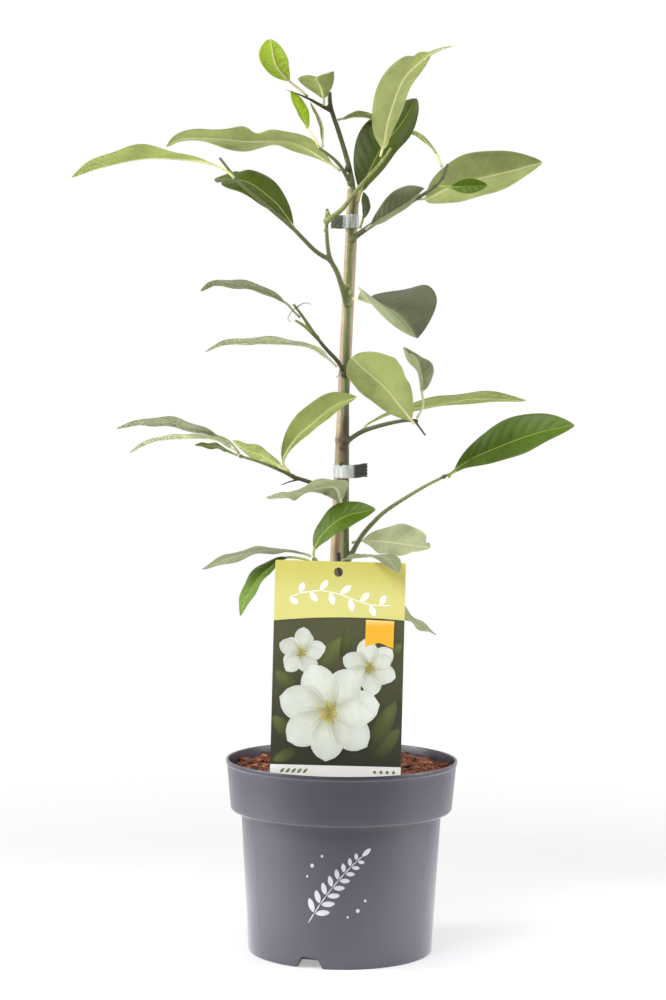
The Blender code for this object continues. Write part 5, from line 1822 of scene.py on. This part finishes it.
class Bloom(NamedTuple):
    """One printed blossom on the card."""

    centre: Flat
    radius: float
    petals: int
    turn: float


@dataclass
class Artwork:
    """Printed picture of blossoms of no kind in particular, and leaves, drawn as thin overlapping films."""

    label: Label
    step: float = 0.022
    fine_step: float = 0.004
    film: float = 0.012
    clear: float = 0.12
    petal_half: float = 0.34
    petal_root: float = 1.5
    inner_share: float = 0.82
    stamens: int = 22
    stamen_half: float = 0.022
    stamen_step: float = 0.002
    blooms: tuple[Bloom, ...] = (Bloom((-29, 99), 21, 10, 15.0), Bloom((25, 88), 24, 12, 40.0),
                                 Bloom((-6, 52), 42, 14, 10.0))
    sprigs: tuple[tuple[Flat, Flat, float], ...] = (
        ((30, 14), (50, 40), 6.0), ((26, 20), (47, 62), 7.0), ((-30, 66), (-50, 84), 6.0),
        ((-20, 78), (2, 112), 7.0), ((4, 92), (8, 120), 4.6), ((-30, 22), (-50, 12), 4.6),
        ((-34, 30), (-51, 48), 5.5), ((40, 96), (50, 108), 4.0))

    def close(self, name: str, shape: Shape, material: Material) -> Thing:
        """Weld the sheets' tips, stand them on the card and give them thickness."""
        bmesh.ops.remove_doubles(shape, verts=shape.verts, dist=WELD)
        return thicken(self.label.finish_piece(name, shape, 0, material), self.film)

    def build(self) -> None:
        """Draw leaves first, then the blossoms from back to front, then their gold centres."""
        draw = random.Random(31)
        base = self.label.thick / 2 + self.clear
        leaves, petals, gold = open_mesh(), open_mesh(), open_mesh()
        for index, (root, tip, half) in enumerate(self.sprigs):
            sheet(leaves, root, tip, half, base + self.step * index, draw.uniform(0.7, 1.1), 0.5)
        level = base + self.step * len(self.sprigs)
        for bloom in self.blooms:
            centre = Vector(bloom.centre)
            for k in range(bloom.petals):
                inner = k % 2
                turn = math.radians(bloom.turn + 360 / bloom.petals * (k + 0.5 * inner))
                reach = bloom.radius * (self.inner_share if inner else 1.0) * draw.uniform(0.92, 1.0)
                aim = Vector((math.cos(turn), math.sin(turn)))
                level += self.step
                sheet(petals, centre - aim * self.petal_root, centre + aim * reach, reach * self.petal_half,
                      level, draw.uniform(0.86, 1.0))
            for k in range(self.stamens):
                turn = math.radians(360 / self.stamens * k + draw.uniform(-8, 8))
                aim = Vector((math.cos(turn), math.sin(turn)))
                reach = bloom.radius * draw.uniform(0.12, 0.27)
                level += self.stamen_step
                sheet(gold, centre, centre + aim * reach, bloom.radius * self.stamen_half, level,
                      draw.uniform(0.6, 1.1), 0.75)
        self.close("label_leaves", leaves, LEAF_PRINT.build())
        self.close("label_blossoms", petals, PETAL_PRINT.build())
        self.close("label_stamens", gold, GOLD_PRINT.build())

    def crest(self, material: Material) -> Thing:
        """Pale arching sprig printed across the yellow head."""
        shape = open_mesh()
        stalk = [Vector((-40 + 8 * k, 143 + 5.5 * math.sin(k * 0.52))) for k in range(11)]
        level = self.label.thick / 2 + self.clear
        for index, (here, there) in enumerate(zip(stalk, stalk[1:])):
            level += self.fine_step
            sheet(shape, here, there + (there - here) * 0.15, 0.55, level, 1.0, 0.5)
            arm = turned((there - here).normalized(), math.radians(58 if index % 2 else -58))
            level += self.fine_step
            sheet(shape, here, here + arm * (11.5 - 0.5 * abs(index - 5)), 2.6, level, 1.0, 0.55)
        return self.close("label_crest", shape, material)

    def footer(self, material: Material) -> Thing:
        """Small leaf and dot shapes along the white foot of the card."""
        shape = open_mesh()
        level = self.label.thick / 2 + 0.1
        for k in range(5):
            x = -44 + 4.6 * k
            sheet(shape, (x, 3.0), (x + 3.4, 6.6), 1.0, level, 0.9, 0.5)
        for k in range(4):
            x = 30 + 5 * k
            sheet(shape, (x, 5.0), (x + 2.6, 5.0), 1.3, level, 0.8, 0.5)
        return self.close("label_footer", shape, material)


class Lamp(NamedTuple):
    """Square soft light: where it stands and aims, its side in metres, its watts, its spread in degrees."""

    name: str
    place: Point
    aim: Point
    size: float
    power: float
    spread: float = 180.0


@dataclass
class Studio:
    """White cove, its lights and the camera that stands where the photographer stood."""

    eye: Point = (-0.0093, -2.0, 0.4688)
    pitch: float = 2.794
    roll: float = 0.572
    lens: float = 87.87
    floor_radius: float = 2.4
    cove: float = 0.95
    dim_side: float = 0.25
    bright_side: Point = (-0.15, 0.85, 0.5)
    lit_floor: Colour = (0.86, 0.86, 0.87)
    # Floor colours for the camera: the near one is darker, a painted shadow round the pot
    shaded_near_floor: Colour = (0.47, 0.465, 0.48)
    far_floor: Colour = (0.60, 0.595, 0.61)
    floor_veil: float = 0.4
    lamps: tuple[Lamp, ...] = (
        Lamp("key_top", (-0.9, -1.4, 2.0), (0.0, 0.0, 0.35), 0.8, 28.0),
        Lamp("side_left", (-1.7, -0.3, 0.65), (0.0, 0.0, 0.3), 1.2, 26.0),
        Lamp("side_right", (1.7, -0.25, 0.55), (0.0, 0.0, 0.25), 1.1, 15.0),
        Lamp("low_left", (-0.95, -0.1, 0.5), (-0.3, -0.06, 0.0), 0.4, 1.6, 42.0),
        Lamp("low_right", (0.95, -0.1, 0.5), (0.3, -0.08, 0.0), 0.4, 1.5, 42.0))

    def world(self) -> None:
        """White surroundings, dimmer as light on the photographer's side."""
        world = bpy.data.worlds.new("white_cove")
        world.use_nodes = True
        back = world.node_tree.nodes["Background"]
        sketch = Sketch(world.node_tree)
        heading = sketch.add("TexCoord").outputs["Generated"]
        toward = sketch.add("VectorMath", heading, self.bright_side, operation="DOT_PRODUCT").outputs["Value"]
        bright = sketch.step(toward, -0.95, 0.2)
        light = sketch.math("MULTIPLY_ADD", bright, self.cove - self.dim_side, self.dim_side)
        seen = sketch.add("LightPath").outputs["Is Camera Ray"]
        back.inputs["Color"].default_value = (1.0, 1.0, 1.0, 1.0)
        sketch.fill(back.inputs["Strength"], sketch.math("MAXIMUM", seen, light))
        bpy.context.scene.world = world

    def floor(self) -> None:
        """Pale round floor that fades out before its edge, with a painted shadow near the pot."""
        shape = bmesh.new()
        bmesh.ops.create_circle(shape, cap_ends=True, segments=96, radius=self.floor_radius)
        finish = new_finish("cove_floor")
        sketch = finish.sketch
        place = sketch.object_place()
        away = sketch.add("VectorMath", place, operation="LENGTH").outputs["Value"]
        fade = sketch.rest(sketch.step(away, 0.2, 0.95))
        seen = sketch.add("LightPath").outputs["Is Camera Ray"]
        # Painted shadow: the floor the camera sees turns darker towards the pot
        near = sketch.blend(sketch.step(away, 0.1, 0.45), self.shaded_near_floor, self.far_floor)
        tint = sketch.blend(seen, self.lit_floor, near)
        cover = sketch.times(fade, sketch.math("MULTIPLY_ADD", seen, -self.floor_veil, 1.0))
        finish.set(Base_Color=tint, Roughness=0.7, Alpha=cover, Specular_IOR_Level=0.1)
        floor = settle("floor", shape, finish.material)

    def hang(self, lamp: Lamp) -> None:
        """Set up one lamp and turn it to its aim."""
        light = bpy.data.lights.new(lamp.name, "AREA")
        light.spread = math.radians(lamp.spread)
        light.size = lamp.size
        light.energy = lamp.power
        holder = bpy.data.objects.new(lamp.name, light)
        holder.location = lamp.place
        holder.rotation_euler = (Vector(lamp.aim) - Vector(lamp.place)).to_track_quat("-Z", "Y").to_euler()
        bpy.context.scene.collection.objects.link(holder)

    def camera(self) -> None:
        """Camera of the photograph."""
        data = bpy.data.cameras.new("photo_camera")
        data.sensor_fit = "VERTICAL"
        data.sensor_height = 36.0
        data.lens = self.lens
        data.clip_start = 0.05
        data.clip_end = 20.0
        holder = bpy.data.objects.new("photo_camera", data)
        tilt = Matrix.Rotation(math.radians(90 - self.pitch), 4, "X")
        turn = tilt @ Matrix.Rotation(math.radians(self.roll), 4, "Z")
        holder.matrix_world = Matrix.Translation(self.eye) @ turn
        bpy.context.scene.collection.objects.link(holder)
        bpy.context.scene.camera = holder

    def build(self) -> None:
        """Set up everything round the plant."""
        self.world()
        self.floor()
        for lamp in self.lamps:
            self.hang(lamp)
        self.camera()


@dataclass
class PottedPlant:
    """The whole plant in its pot, built part by part."""

    pot: Pot = field(default_factory=Pot)
    wood: Wood = field(default_factory=Wood)
    cane: Cane = field(default_factory=Cane)
    label: Label = field(default_factory=Label)
    foliage: Foliage = field(default_factory=Foliage)

    def pot_and_soil(self, mottle: Tree) -> None:
        """Pot with its print, and the soil in it."""
        self.pot.build(self.pot.plastic.build(mottle))
        PotPrint(self.pot).build()
        soil = Soil(self.pot)
        soil.bed(soil.coir.build("coir_bed", mottle, False))
        loose = soil.coir.build("coir_loose", mottle, True)
        soil.chip_layer(loose)
        soil.fibre_layer(loose)

    def woody_parts(self, mottle: Tree) -> None:
        """Cane, stem and the two ties."""
        self.cane.build(self.cane.bamboo.build(mottle))
        bark = self.wood.bark.build(mottle)
        self.wood.build(bark)
        self.wood.tendrils(bark)
        pale_tape = TapeFinish().build("tie_tape_pale")
        dark_tape = TapeFinish(tail=(0.055, 0.06, 0.052)).build("tie_tape_dark")
        upper = Tie("tie_upper_tape", "tie_upper", 598.8, (3, -4), 3.3, (-13.3, -4.4), True, self.cane)
        upper.build(pale_tape)
        lower = Tie("tie_lower_tape", "tie_lower", 394.8, (0.5, -4), 4.1, (19, -2.5), False, self.cane)
        lower.build(dark_tape)

    def printed_label(self) -> None:
        """Card and everything printed on it."""
        self.label.card(CARD_INK.build())
        self.label.head(HEAD_INK.build())
        self.label.picture(GROUND_INK.build())
        self.label.arch_line(LINE_INK.build())
        art = Artwork(self.label)
        art.build()
        self.label.ribbon(RIBBON_INK.build())
        art.crest(CREAM_PRINT.build())
        art.footer(GREEN_PRINT.build())

    def build(self) -> None:
        """Build every piece and log its size."""
        mottle = build_mottle_group()
        self.pot_and_soil(mottle)
        self.woody_parts(mottle)
        self.printed_label()
        self.foliage.dress(mottle)
        for leaf in LEAVES:
            self.foliage.build(leaf)
        for thing in bpy.context.scene.objects:
            if thing.type == "MESH":
                LOG.info("%s: %d faces", thing.name, len(thing.data.polygons))


def set_view() -> None:
    """Plain display of colours, as in the catalogue picture."""
    bpy.context.scene.view_settings.view_transform = "Standard"


def main() -> None:
    """Build the plant and its studio."""
    logging.basicConfig(level=logging.INFO, format="%(message)s")
    PottedPlant().build()
    Studio().build()
    set_view()
    bpy.context.view_layer.update()


if __name__ == "__main__":
    main()
